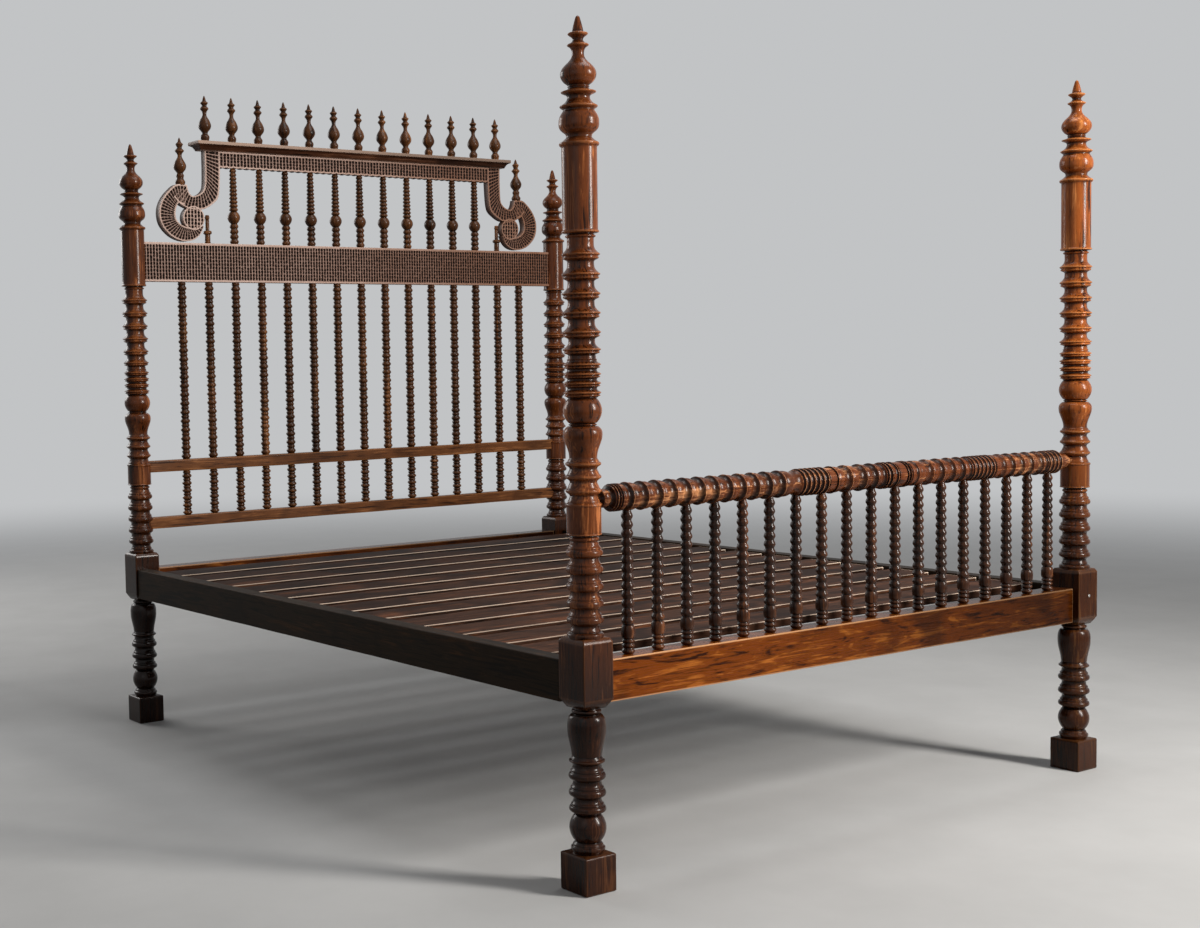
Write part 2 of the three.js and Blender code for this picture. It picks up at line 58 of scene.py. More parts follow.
# Turnings in millimetres, from bottom to top or from left to right:
# shape, length, radius at its necks, radius at its crest
LEG = [
    ("foot_ring", 24, 27, 35.7), ("ball", 58, 26, 38.4), ("fat", 32.6, 29, 38.4), ("fat", 35.6, 29.5, 38.6),
    ("fat", 34.9, 29.5, 38.6), ("rim", 18.2, 30, 37.5), ("leg_urn", 85.7, 31.5, 40), ("ring", 15, 26.5, 31),
]
LOWER_TURNING = [
    ("fat_low", 25, 28, 37.8), *[("fat", length, 29.5, 38) for length in (33.2, 35.2, 35.3, 34.8)],
    ("fat", 33.5, 29, 37.8), ("ring", 13.5, 27, 30.5), ("collar", 5.5, 27, 36.8),
]
LOWER_CYLINDER = [("plain", 54, 30, 35.6)]
MIDDLE_TURNING = [
    ("brim", 21.3, 28.5, 37.6), ("vee", 29.4, 28, 37), ("vee", 27.5, 28, 37), ("rim", 20.8, 28.5, 36.8),
    ("urn", 65, 28.6, 40), ("ring", 6.5, 25.5, 29), ("ball", 51, 28, 39.6), ("lead", 2, 29, 32.5),
    *[("plate", length, 30, 38.6) for length in (20.1, 18.1, 19.5, 19.5)], ("plain", 6.8, 20, 28.5),
    ("disc", 32.5, 27, 39.3), *[("disc", length, 27, 39.5) for length in (38.9, 39.3, 38.8, 40.3, 40)],
    ("plain", 6.7, 20, 27.2), ("ring", 10, 27, 31), ("collar", 8.5, 26.5, 38.4),
]
UPPER_CYLINDER = [("plain", 165.5, 30, 35.9)]
# The crown as heights above the upper cylinder, and radii
CROWN = [
    (0, 35.9), (1.5, 37), (3, 39.4), (6, 40.6), (8.5, 40), (10.5, 36.8), (13, 33), (17, 28.4), (20, 26.2),
    (24, 26.4), (27.5, 28.5), (31, 33), (36, 38), (42, 40.5), (49, 40.85), (56, 40.3), (63, 38), (69, 34.6),
    (73, 32), (76, 32.4), (78.8, 36.5), (81.2, 38.6), (83, 37.6), (85.5, 33.5), (89, 28.5), (94, 24.6),
    (99, 23), (103, 24), (106, 28), (108.4, 34), (110, 35.6), (111.6, 34.4), (113.8, 27), (116, 22.6),
    (118.5, 21), (120.5, 22.2), (122.5, 21), (125, 23), (129, 28.4), (135, 33.4), (141, 36), (147, 36.4),
    (153, 35), (159, 31.4), (165, 26), (170, 20.6), (176, 15.6), (182, 12.8), (188, 12.2), (194, 13.2),
    (199, 16.2), (202, 20.6), (204, 22), (206, 20), (208.5, 15), (212, 11.4), (215, 10.6), (219, 12.6),
    (222.5, 17.2), (225, 20), (226.8, 20.5), (228.4, 18.4), (230, 12.8), (232, 11.4), (238, 10.2),
    (247, 8), (256, 5.4), (260, 4), (262.4, 1.6), (263, 0.3),
]
TURNED_RAIL = [
    ("knob", 19, 14, 19.5), ("flare", 7, 17.5, 25.5), ("fine", 7.6, 25.5, 29.4), ("fine", 8.4, 25.5, 29.6),
    ("tail", 27.8, 24.5, 31), *[("barrel", 41.1, 24.5, 31)] * 11, ("barrel", 59, 24.5, 31),
    *[("fine", 15.2, 26, 31.5)] * 6, ("plain", 22.7, 24, 28),
    *[("barrel", length, 25, 31.8) for length in (47.2, 49.6, 40.3, 33.1)],
    *[("fine", 13, 26, 31.8)] * 2, ("plain", 7.5, 20, 28), ("fine", 12.5, 27, 31.5), ("plain", 25, 20, 29.5),
    *[("fine", 10, 26.5, 31.5)] * 2, ("tail", 24, 27, 31), ("tail", 50.4, 25, 31.5),
    *[("barrel", length, 25, 31.2) for length in (41.6, 42.2, 37.6, 30.2)], *[("fine", 15.2, 26.5, 31)] * 6,
    ("tail", 39, 26, 30.8), *[("barrel", length, 25, 30.8) for length in (35, 38, 37.5, 41, 22)],
    *[("fine", 16, 26, 30.4)] * 4, ("bell_end", 48.3, 13, 24),
]
SPINDLE_BEADS = 13
SPINDLE_BEAD_LENGTH = 18.4
SPINDLE_RADII = (14.0, 12.5)
SPINDLE_FOOT = [
    ("bun", 13, 10.5, 14), ("bun", 10, 11, 13.6), ("bun", 9.5, 11, 13.8), ("cask", 28.5, 11, 14.8),
]
SHORT_COLUMN = [("bun", 15, 10.5, 15.3), ("bun", 8.3, 10.5, 12.8)] * 6
LONG_COLUMN = [("bun", 17, 11, 15.3), ("bun", 10.8, 11, 13)] * 20
UPPER_COLUMN_FOOT = [("bun", 16.2, 10.8, 14.4)] * 4 + [("ball", 39, 9.5, 20.4)]
UPPER_COLUMN_RINGS = 11
UPPER_COLUMN_RING_LENGTH = 12.2
UPPER_COLUMN_RADII = (14.6, 11.4)
SPINDLE_NECK_SHARE = 0.74
STUB = [
    ("ring", 8, 8, 10), ("plain", 20, 8, 9), ("collar", 12, 8, 14), ("plain", 34, 5, 6.4),
    ("ball", 16, 5, 7.6),
]
STUB_HEIGHT = 90.0
# The finials as shares of their height, and radii in millimetres
FINIAL = [
    (0, 12.4), (0.04, 12.8), (0.08, 14.2), (0.11, 14.5), (0.14, 12.6), (0.17, 9.6), (0.19, 9), (0.22, 10.6),
    (0.27, 16.6), (0.31, 19.6), (0.355, 20.5), (0.4, 19.2), (0.47, 15), (0.53, 9.5), (0.57, 7), (0.61, 6.6),
    (0.66, 8), (0.7, 12.4), (0.722, 13.6), (0.742, 12), (0.77, 8.2), (0.79, 7.8), (0.82, 10.4), (0.842, 12.4),
    (0.86, 10.6), (0.885, 6.4), (0.94, 4.4), (0.985, 2), (1, 0.4),
]
SCROLL_FINIAL = [
    (0, 14), (0.04, 15.8), (0.07, 16), (0.11, 12.4), (0.14, 11), (0.17, 11.8), (0.2, 12.7), (0.225, 11),
    (0.245, 9.5), (0.28, 12.6), (0.33, 18.2), (0.39, 20.3), (0.44, 19), (0.51, 13.6), (0.57, 8.6), (0.615, 7),
    (0.66, 8.4), (0.7, 13), (0.72, 14.8), (0.742, 12.6), (0.77, 8.6), (0.79, 8), (0.83, 10), (0.86, 12),
    (0.88, 9.6), (0.905, 6), (0.95, 4), (0.985, 2), (1, 0.4),
]

# Looks of the timbers. Colours are as on a screen, 0 to 255; tones go from the darkest to the lightest,
# and edge is the colour of the painted highlight on crests and edges. Each shade run paints a piece brighter
# or darker along an axis, as painted light and shade.
WOODS = {
    "post_wood": dict(
        axis="Z", tones=((34, 15, 5), (102, 54, 24), (172, 106, 60)), streaks=0.14, clouds=0.3, gloss=0.24,
        specular=0.18, shade=(("Z", 0.38, 0.9, 0.2, 1.25), ("Y", -0.9, 0.9, 1.3, 0.62))),
    "post_wood_amber": dict(
        axis="Z", tones=((54, 25, 9), (146, 80, 33), (214, 140, 78)), streaks=0.12, clouds=0.3, gloss=0.24,
        groove=0.9, specular=0.18, coat=0.05, shade=(("Z", 0.44, 1.2, 0.15, 1.25),), shift=17.0),
    "side_rail_wood": dict(
        axis="Y", tones=((16, 10, 4), (38, 26, 13), (66, 43, 22)), streaks=0.5, gloss=0.5, crest=0.2,
        specular=0.07, coat=0.0),
    "end_rail_wood": dict(
        axis="X", tones=((50, 21, 3), (126, 64, 14), (186, 112, 42)), figure=0.7, clouds=0.6, crest=0.9,
        edge=(226, 168, 118), specular=0.08, coat=0.02, flame=1.9,
        shade=(("X", -0.8, 0.75, 1.0, 0.22), ("Y", -0.8, 0.8, 1.0, 0.45))),
    "turned_rail_wood": dict(
        axis="X", tones=((32, 15, 6), (106, 56, 26), (216, 152, 104)), streaks=0.1, clouds=0.4, crest=0.7,
        groove=0.85, specular=0.16, coat=0.05),
    "spindle_wood": dict(
        axis="Z", tones=((24, 13, 7), (66, 37, 20), (122, 74, 42)), streaks=0.2, gloss=0.25),
    "column_wood": dict(
        axis="Z", tones=((28, 16, 8), (82, 50, 26), (140, 92, 52)), streaks=0.2, gloss=0.26, specular=0.15,
        coat=0.05),
    "plain_rail_wood": dict(
        axis="X", tones=((46, 24, 10), (104, 64, 34), (152, 102, 62)), figure=0.4, streaks=0.55, gloss=0.4,
        specular=0.1, coat=0.02),
    "slat_wood": dict(
        axis="X", tones=((24, 14, 9), (66, 43, 31), (110, 68, 44)), streaks=0.4, clouds=0.7, gloss=0.62,
        crest=1.0, edge=(236, 212, 190), specular=0.06, coat=0.0, shade=(("Y", -0.9, 0.9, 1.5, 0.5),)),
    "cornice_wood": dict(
        axis="X", tones=((34, 17, 9), (84, 50, 32), (138, 92, 66)), streaks=0.3, gloss=0.4, crest=0.6,
        edge=(206, 176, 156), specular=0.08, coat=0.0, shade=(("X", -0.6, 0.4, 1.0, 0.5),)),
}
# Carved tones: the pits' near-black painted shade, the slopes, the ridges' pale painted highlight, and the
# warmer ridge colour where that sheen fades
CARVED_TONES = ((10, 5, 2), (66, 39, 28), (208, 180, 166), (120, 76, 48))
STEEL_TONES = ((150, 150, 150), (208, 208, 206))


def half_round(start, end, low, high, count=13):
    """Points of a half round between two shares of the length."""
    angles = np.linspace(0, math.pi, count)
    return [(start + (end - start) * (1 - math.cos(a)) / 2, low + (high - low) * math.sin(a)) for a in angles]


def cove(start, end, top, rising, count=7):
    """Points of a hollow quarter that climbs to a share of the crest, or falls from it."""
    angles = np.linspace(0, math.pi / 2, count)
    rise = [(start + (end - start) * math.sin(a), top * (1 - math.cos(a))) for a in angles]
    if rising:
        return rise
    return [(start + end - t, s) for t, s in reversed(rise)]


def spline(points, steps=9):
    """A smooth curve through control points."""
    p = np.array([points[0], *points, points[-1]], float)
    out = []
    for i in range(1, len(p) - 2):
        for u in np.linspace(0, 1, steps, endpoint=False):
            a = 2 * p[i]
            b = p[i + 1] - p[i - 1]
            c = 2 * p[i - 1] - 5 * p[i] + 4 * p[i + 1] - p[i + 2]
            d = -p[i - 1] + 3 * p[i] - 3 * p[i + 1] + p[i + 2]
            out.append(tuple((a + b * u + c * u * u + d * u ** 3) / 2))
    out.append(tuple(p[-1]))
    return out


def percent(*points):
    """Points given in percent, as shares."""
    return [(a / 100, b / 100) for a, b in points]


# Each shape of a turning: shares of its length, and shares of the way from its neck to its crest
RING_TAIL = percent((9, 80), (11.5, 60), (14, 54), (17, 56), (22, 66), (30, 72), (38, 69), (46, 56),
    (54, 32), (62, 10), (70, 0), (78, 2), (86, 12), (93, 34), (97.5, 62), (100, 75))
SHAPES = {
    "ball": [(t, math.sin(math.pi * t) ** 0.78) for t in np.linspace(0, 1, 25)],
    "cask": percent((0, 20), (4, 50), (10, 74), (20, 90), (35, 99), (50, 100), (65, 97), (80, 82), (90, 60),
        (96, 36), (100, 10)),
    "bun": percent((0, 0), (5, 3), (12, 20), (20, 50), (28, 78), (37, 96), (45, 100), (54, 97), (63, 84),
        (72, 60), (80, 34), (88, 13), (95, 2), (100, 0)),
    "lead": percent((0, 0), (100, 100)),
    "knob": percent((0, 45), (15, 72), (35, 96), (50, 100), (68, 94), (85, 76), (100, 62)),
    "flare": percent((0, 0), (30, 10), (60, 42), (85, 86), (100, 100)),
    "ring": cove(0, 0.27, 0.45, True) + half_round(0.27, 0.73, 0.45, 1) + cove(0.73, 1, 0.45, False),
    "fine": cove(0, 0.34, 0.5, True) + half_round(0.36, 0.64, 0.5, 1, 9) + cove(0.66, 1, 0.5, False),
    "plate": percent((0, 14), (4, 36), (9, 72), (14, 82), (19, 74), (24, 52), (28, 50), (33, 76), (38, 96),
        (43, 100), (49, 94), (55, 70), (62, 36), (70, 13), (80, 1), (90, 0), (100, 14)),
    "disc": percent((0, 0), (4, 4), (8, 18), (12, 44), (15.5, 70), (19, 80), (22.5, 78), (25.5, 68),
        (28.5, 66), (31.5, 78), (34.5, 94), (37.5, 100), (40.5, 98), (43.5, 86), (47, 69), (52, 52),
        (58, 35), (65, 18), (73, 7), (83, 1), (100, 0)),
    "rim": percent((0, 0), (10, 10), (20, 40), (28, 75), (36, 96), (44, 100), (52, 96), (58, 80), (63, 55),
        (69, 40), (76, 38), (84, 25), (92, 8), (100, 0)),
    "vee": percent((0, 0), (7, 8), (15, 35), (22, 66), (29, 92), (35, 100), (42, 96), (49, 76), (56, 54),
        (63, 42), (70, 36), (77, 24), (85, 10), (93, 2), (100, 0)),
    "fat": percent((0, 0), (4, 6), (9, 28), (14, 60), (19, 84), (26, 98), (33, 100), (41, 97), (48, 84),
        (53, 62), (55.5, 48), (58, 46), (62, 55), (66, 54), (70, 42), (76, 20), (84, 5), (100, 0)),
    "fat_low": percent((0, 85), (9, 97), (18, 100), (29, 96), (37, 80), (42, 50), (46, 30), (53, 36),
        (61, 33), (70, 20), (82, 6), (100, 0)),
    "foot_ring": percent((0, 55), (10, 60), (22, 80), (34, 97), (45, 100), (56, 92), (63, 62), (67, 50),
        (73, 52), (80, 50), (87, 30), (94, 10), (100, 0)),
    "brim": percent((0, 80), (8, 96), (17, 100), (26, 90), (34, 60), (39, 42), (48, 46), (58, 36), (75, 12),
        (100, 0)),
    "collar": percent((0, 0), (12, 60), (30, 96), (50, 100), (72, 93), (86, 82), (100, 78)),
    "plain": percent((0, 100), (100, 100)),
    "urn": spline(percent((0, 0), (6, 1), (16, 8), (30, 30), (45, 62), (60, 90), (70, 99), (77, 100),
        (85, 93), (91, 76), (96, 50), (100, 20))),
    "leg_urn": spline(percent((0, 0), (8, 5), (20, 26), (35, 60), (50, 88), (60, 98), (68, 100), (78, 97),
        (87, 84), (93, 66), (97, 42), (100, 10))),
    "bell_end": spline(percent((0, 90), (8, 100), (30, 93), (60, 70), (85, 35), (100, 8))),
    "barrel": [*percent((0, 75), (2, 96), (4, 100), (6, 97)), *RING_TAIL],
    "tail": RING_TAIL,
}

# How far a turning's corners are rounded off, and how far its thinned line may lie off, in millimetres
ROUNDING = 0.5
THINNING = 0.03
MOST_THINNED = 24


def smoothed(z, r):
    """The profile resampled evenly along its line, its corners rounded off a little."""
    steps = np.hypot(np.diff(z), np.diff(r))
    keep = np.concatenate(([True], steps > 1e-6))
    z, r = z[keep], r[keep]
    along = np.concatenate(([0], np.cumsum(np.hypot(np.diff(z), np.diff(r)))))
    step = ROUNDING * 0.8
    even = np.linspace(0, along[-1], max(int(along[-1] / step), 8))
    reach = 4
    weights = np.exp(-0.5 * (np.arange(-reach, reach + 1) * step / ROUNDING) ** 2)
    weights /= weights.sum()
    return [np.convolve(np.pad(np.interp(even, along, values), reach, mode="edge"), weights, "valid")
            for values in (z, r)]


def thinned(z, r):
    """Drops points that lie close to the line through their neighbours."""
    keep = [0]
    start = 0
    for i in range(2, len(z)):
        span = np.array([z[i] - z[start], r[i] - r[start]])
        inner = np.stack([z[start + 1:i] - z[start], r[start + 1:i] - r[start]], 1)
        off = np.abs(inner[:, 0] * span[1] - inner[:, 1] * span[0]) / (np.hypot(*span) + 1e-9)
        if off.max() > THINNING or i - start > MOST_THINNED:
            keep.append(i - 1)
            start = i - 1
    keep.append(len(z) - 1)
    return z[keep], r[keep]


def profile(rows, start, end=None):
    """Heights and radii of a turning, in millimetres. With an end, its rows are stretched to fit."""
    z, r = [], []
    length = sum(row[1] for row in rows)
    scale = 1 if end is None else (end - start) / length
    at = start
    for shape, step, neck, crest in rows:
        for t, s in SHAPES[shape]:
            z.append(at + t * step * scale)
            r.append(neck + (crest - neck) * s)
        at += step * scale
    return thinned(*smoothed(np.array(z, float), np.array(r, float)))


def crest_shares(z, r, spread, depth, flank_shade):
    """0 in a groove, 0.5 on a plain stretch and 1 on a crest, from the radius set against the mean around.
    Its last argument counts flanks that rise along the axis towards a crest as grooves, which paints shade on
    the flanks that face away from the light."""
    step, reach = 0.8, 2.8 * spread
    even = np.arange(z[0], z[-1] + step, step)
    radii = np.interp(even, z, r)
    offsets = np.arange(-reach, reach + step, step)
    weights = np.exp(-0.5 * (offsets / spread) ** 2)
    mean = np.convolve(np.pad(radii, len(offsets) // 2, mode="edge"), weights / weights.sum(), "valid")
    slope = np.maximum(np.gradient(radii, step), 0)
    share = 0.5 + 0.5 * np.clip((radii - mean[:len(radii)]) / depth - flank_shade * slope, -1, 1)
    return np.interp(z, even, share)


def mesh_object(name, verts, faces, wear_and_shading, smooth):
    """An object from lists, with a share for each point that the materials paint as a darker groove, painted
    shade, or a paler crest, partly worn polish and partly painted highlight; smooth is a flag for each face.
    """
    mesh = bpy.data.meshes.new(name)
    mesh.from_pydata([tuple(v) for v in verts], [], faces)
    mesh.polygons.foreach_set("use_smooth", smooth)
    layer = mesh.attributes.new("wear_and_shading", "FLOAT", "POINT")
    layer.data.foreach_set("value", np.asarray(wear_and_shading, np.float32))
    mesh.update()
    piece = bpy.data.objects.new(name, mesh)
    bpy.context.scene.collection.objects.link(piece)
    return piece


def gathered(name, shells):
    """An object from closed shells: their points in millimetres, their faces, their shares for painted shade,
    painted highlight and worn polish, and how many of the faces, counted from the first, are shaded smooth."""
    verts, faces, wear_and_shading, smooth = [], [], [], []
    for points, polygons, shares, bend in shells:
        faces += [tuple(i + len(verts) for i in face) for face in polygons]
        smooth += [True] * bend + [False] * (len(polygons) - bend)
        verts += list(np.asarray(points, float) * MM)
        wear_and_shading += list(shares)
    return mesh_object(name, verts, faces, wear_and_shading, smooth)


def dress(name, shells, material, slot, *nodes):
    """A piece with its material and its body; slot is not used. It hides the solids that it stands for."""
    piece = gathered(name, shells)
    piece.data.materials.append(material)
    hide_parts(*nodes)
    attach(piece, BODY)


def sleeve(rows, size, first=0):
    """The four-sided faces between rows of points, each row a closed ring of the same size."""
    return [(first + i * size + j, first + i * size + (j + 1) % size,
             first + (i + 1) * size + (j + 1) % size, first + (i + 1) * size + j)
            for i in range(rows - 1) for j in range(size)]


def lathe(z, r, place, segments, axis="Z", spread=3.2, depth=1.7, flank_shade=0.0):
    """A closed turned shell through profile points, about an axis through a place."""
    crest = crest_shares(z, r, spread, depth, flank_shade)
    angles = np.linspace(0, 2 * math.pi, segments, endpoint=False)
    ring = np.stack([np.cos(angles), np.sin(angles)], 1)
    rows = [np.column_stack([ring * radius, np.full(segments, height)]) for height, radius in zip(z, r)]
    verts = np.concatenate([*rows, [[0, 0, z[0]]], [[0, 0, z[-1]]]])
    wear_and_shading = np.concatenate([np.repeat(crest, segments), [crest[0]], [crest[-1]]])
    last = (len(z) - 1) * segments
    low, high = last + segments, last + segments + 1
    faces = sleeve(len(z), segments)
    for j in range(segments):
        k = (j + 1) % segments
        faces.append((low, k, j))
        faces.append((high, last + j, last + k))
    if axis == "X":
        verts = verts[:, [2, 0, 1]]
    return verts + np.array(place), faces, wear_and_shading, len(faces)


def rounded_section(half_a, half_b, corner, inset=None):
    """Points of a rectangle with rounded corners, with a line close inside each edge, and each point's share
    for pale edges, partly worn polish and partly painted highlight.
    """
    points, wear_and_shading = [], []
    arc = np.linspace(0, math.pi / 2, 4)
    inset = 1.5 * corner if inset is None else inset
    for turn in range(4):
        a, b = (half_a, half_b) if turn % 2 == 0 else (half_b, half_a)
        local = [(a, b - corner - inset, 0.5)]
        local += [(a - corner + corner * math.cos(t), b - corner + corner * math.sin(t), 1.0) for t in arc]
        local += [(a - corner - inset, b, 0.5)]
        c, s = [(1, 0), (0, 1), (-1, 0), (0, -1)][turn]
        for x, y, w in local:
            points.append((x * c - y * s, x * s + y * c))
            wear_and_shading.append(w)
    return np.array(points), np.array(wear_and_shading)


def loft(stations, to_space):
    """A closed shell through sections of equal count: stations of (place along, points, shares for painted
    light and worn polish).
    """
    size = len(stations[0][1])
    verts, wear_and_shading = [], []
    for along, points, shares in stations:
        verts += [to_space(along, a, b) for a, b in points]
        wear_and_shading += list(shares)
    last = (len(stations) - 1) * size
    faces = sleeve(len(stations), size)
    faces.append(tuple(reversed(range(size))))
    faces.append(tuple(last + j for j in range(size)))
    return verts, faces, wear_and_shading, len(faces)


AXIS_ORDERS = {
    "X": lambda along, a, b: (along, a, b),
    "Y": lambda along, a, b: (b, along, a),
    "Z": lambda along, a, b: (a, b, along),
}


# How fast the unevenness of sawn timber changes along a piece and across it, per millimetre
SWAY_ALONG = 0.006
SWAY_ACROSS = 0.02


def beam(low, high, axis, corner, sway, seed=0.0, step=45.0, arris=None, painted_highlight=1.0):
    """A sawn length of timber between two corners, its edges rounded and its faces uneven by the sway.
    arris is how far the painted highlight on the upper edge at the front reaches; with an arris, that is the
    only long edge painted pale."""
    order = {"X": (0, 1, 2), "Y": (1, 2, 0), "Z": (2, 0, 1)}[axis]
    lo, hi = [low[i] for i in order], [high[i] for i in order]
    half_a, half_b = (hi[1] - lo[1]) / 2, (hi[2] - lo[2]) / 2
    mid_a, mid_b = (hi[1] + lo[1]) / 2, (hi[2] + lo[2]) / 2
    base, wear_and_shading = rounded_section(half_a - sway, half_b - sway, corner, arris)
    if arris is not None:
        near = (base[:, 0] < corner - half_a + 2 * sway) & (base[:, 1] > half_b - sway - corner - arris / 2)
        wear_and_shading = np.where(near, painted_highlight, 0.5)
    count = max(int((hi[0] - lo[0]) / step), 2)
    inner = np.linspace(lo[0] + 4 * corner, hi[0] - 4 * corner, count)
    places = [(lo[0], -corner, 1.0), (lo[0] + corner, 0, 1.0), *[(x, 0, 0.0) for x in inner],
              (hi[0] - corner, 0, 1.0), (hi[0], -corner, 1.0)]
    stations = []
    for along, shrink, edge in places:
        points = base + np.sign(base) * shrink
        drift = np.array([[sway * noise.noise(Vector((
            along * SWAY_ALONG + seed, a * SWAY_ACROSS, b * SWAY_ACROSS + k * 9))) for k in (0, 1)]
            for a, b in points])
        stations.append((along, points + drift + (mid_a, mid_b), np.maximum(wear_and_shading, edge)))
    return loft(stations, AXIS_ORDERS[axis])


BLOCK_CORNER = 2.0
BLOCK_EDGE = 5.0


def square_block(centre, half, low, high, foot, head):
    """A square block of a post. foot and head give the inset and the height of its ends' chamfers."""
    levels = [(low, foot[0], 0.9), (low + 0.5 * foot[1], 0.46 * foot[0], 0.7), (low + foot[1], 0, 1.0),
              (low + foot[1] + BLOCK_EDGE, 0, 0.5), ((low + high) / 2, 0, 0.5),
              (high - head[1] - BLOCK_EDGE, 0, 0.5), (high - head[1], 0, 1.0),
              (high - 0.5 * head[1], 0.46 * head[0], 0.8), (high, head[0], 1.0)]
    stations = []
    for height, shrink, edge in levels:
        points, wear_and_shading = rounded_section(half - shrink, half - shrink, BLOCK_CORNER)
        stations.append((height, points + np.array(centre), np.maximum(wear_and_shading, edge)))
    return loft(stations, AXIS_ORDERS["Z"])


def pits(shape, seed):
    """Seeded jitter of each gouge cut: its shift along, its shift across, its size and its depth."""
    rng = np.random.default_rng(seed)
    return rng.normal(0, 1, (*shape, 4))


# A gouge cut as shares of its cell: its half width and half length with their spread, how far it shifts
# across and along, how steep its walls are, and its depth as a share of the relief, with its spread
CUT_WIDTH = (0.37, 0.02)
CUT_LENGTH = (0.43, 0.03)
CUT_SHIFT = (0.035, 0.07)
CUT_STEEPNESS = 1.9
CUT_DEPTH = (0.8, 0.05)
# The shallow channel that a row of cuts lies in: its half width, the width of its edge, and its depth
CHANNEL_WIDTH = 0.44
CHANNEL_EDGE = 0.14
CHANNEL_DEPTH = 0.15


def gouged(u, v, jitter):
    """Height share of a gouge-carved field, where u counts rows and v the cuts along a row."""
    i = np.clip(np.floor(u).astype(int), 0, jitter.shape[0] - 1)
    j = np.clip(np.floor(v).astype(int), 0, jitter.shape[1] - 1)
    shift_u, shift_v, grow, deep = np.moveaxis(jitter[i, j], -1, 0)
    du = u - i - 0.5 - CUT_SHIFT[0] * shift_u
    dv = v - j - 0.5 - CUT_SHIFT[1] * shift_v
    across = np.clip((CHANNEL_WIDTH - np.abs(u - i - 0.5)) / CHANNEL_EDGE, 0, 1)
    channel = across * across * (3 - 2 * across)
    wide = CUT_WIDTH[0] + CUT_WIDTH[1] * grow
    long = CUT_LENGTH[0] + CUT_LENGTH[1] * grow
    depth = CUT_DEPTH[0] + CUT_DEPTH[1] * np.clip(deep, -1, 1)
    away = (np.abs(du / wide) ** 3 + np.abs(dv / long) ** 3) ** (1 / 3)
    hole = np.clip(CUT_STEEPNESS * (1 - away), 0, 1) ** 0.8
    return 1 - CHANNEL_DEPTH * channel - depth * hole * channel


# Points of the mesh along each gouge cut, and how deep the crests of the carving lie in the board
SAMPLES_PER_CUT = 8
CARVING_SINK = 0.15


def carved_strip(edge_low, edge_high, rows, cuts, front, back, relief, lips, seed, ridge=0.9):
    """A carved board between two edge lines: rows of gouge cuts between raised lips, which are given in
    cuts. The edges are functions from a share along to (x, z); the front faces the foot of the bed."""
    count_s, count_t = rows * SAMPLES_PER_CUT, cuts * SAMPLES_PER_CUT
    s = np.linspace(0, 1, count_s + 1)
    low = np.array([edge_low(v) for v in s])
    high = np.array([edge_high(v) for v in s])
    cut_share = 1 / (cuts + 2 * lips)
    lip = lips * cut_share
    field = lip + np.linspace(0, 1, count_t + 1) * (1 - 2 * lip)
    t = np.concatenate([[0, lip * 0.35, lip * 0.8], field, [1 - lip * 0.8, 1 - lip * 0.35, 1]])
    grid_u, grid_t = np.meshgrid(s * rows, t, indexing="ij")
    v = np.clip((grid_t - lip) / (1 - 2 * lip), 0, 1) * cuts
    height = gouged(np.clip(grid_u, 0, rows - 1e-6), np.clip(v, 0, cuts - 1e-6), pits((rows, cuts), seed))
    rim = np.clip(np.minimum(grid_t, 1 - grid_t) / lip, 0, 1)
    height = np.where(rim < 1, 1 + 0.12 * np.sin(math.pi * rim), height)
    ends = np.clip(np.minimum(grid_u, rows - grid_u) / 0.25, 0, 1)
    height = np.where(ends < 1, np.maximum(height, 1 - ends * 0.2), height)
    place = low[:, None, :] * (1 - grid_t[..., None]) + high[:, None, :] * grid_t[..., None]
    depth = front + relief * (1 - height) + CARVING_SINK
    verts = np.stack([place[..., 0], depth, place[..., 1]], -1).reshape(-1, 3)
    wear_and_shading = (np.clip(height, 0, 1) * np.where(rim < 1, 1.0, ridge)).reshape(-1)
    across, first = len(t), len(verts)
    index = lambda i, j: i * across + j
    faces = [(index(i, j), index(i, j + 1), index(i + 1, j + 1), index(i + 1, j))
             for i in range(count_s) for j in range(across - 1)]
    carved_faces = len(faces)
    behind = [np.stack([edge[:, 0], np.full(len(s), back), edge[:, 1]], -1) for edge in (low, high)]
    verts = np.concatenate([verts, *behind])
    wear_and_shading = np.concatenate([wear_and_shading, np.full(2 * len(s), 0.5)])
    b0, b1 = lambda i: first + i, lambda i: first + len(s) + i
    for i in range(count_s):
        faces.append((b0(i), b0(i + 1), b1(i + 1), b1(i)))
        faces.append((index(i, 0), index(i + 1, 0), b0(i + 1), b0(i)))
        faces.append((index(i + 1, across - 1), index(i, across - 1), b1(i), b1(i + 1)))
    faces.append((*[index(0, j) for j in reversed(range(across))], b0(0), b1(0)))
    faces.append((*[index(count_s, j) for j in range(across)], b1(count_s), b0(count_s)))
    if flips(low, high):
        faces = [tuple(reversed(face)) for face in faces]
    return verts, faces, wear_and_shading, carved_faces


def flips(low, high):
    """True if the strip between two edge lines runs the other way round when seen from the front."""
    along = low[1] - low[0]
    across = high[0] - low[0]
    return along[0] * across[1] - along[1] * across[0] > 0


# Materials
def linear(tone):
    """A screen colour from 0 to 255 as the linear colour that a shader takes."""
    shares = [v / 255 for v in tone]
    return [v / 12.92 if v <= 0.04045 else ((v + 0.055) / 1.055) ** 2.4 for v in shares] + [1]


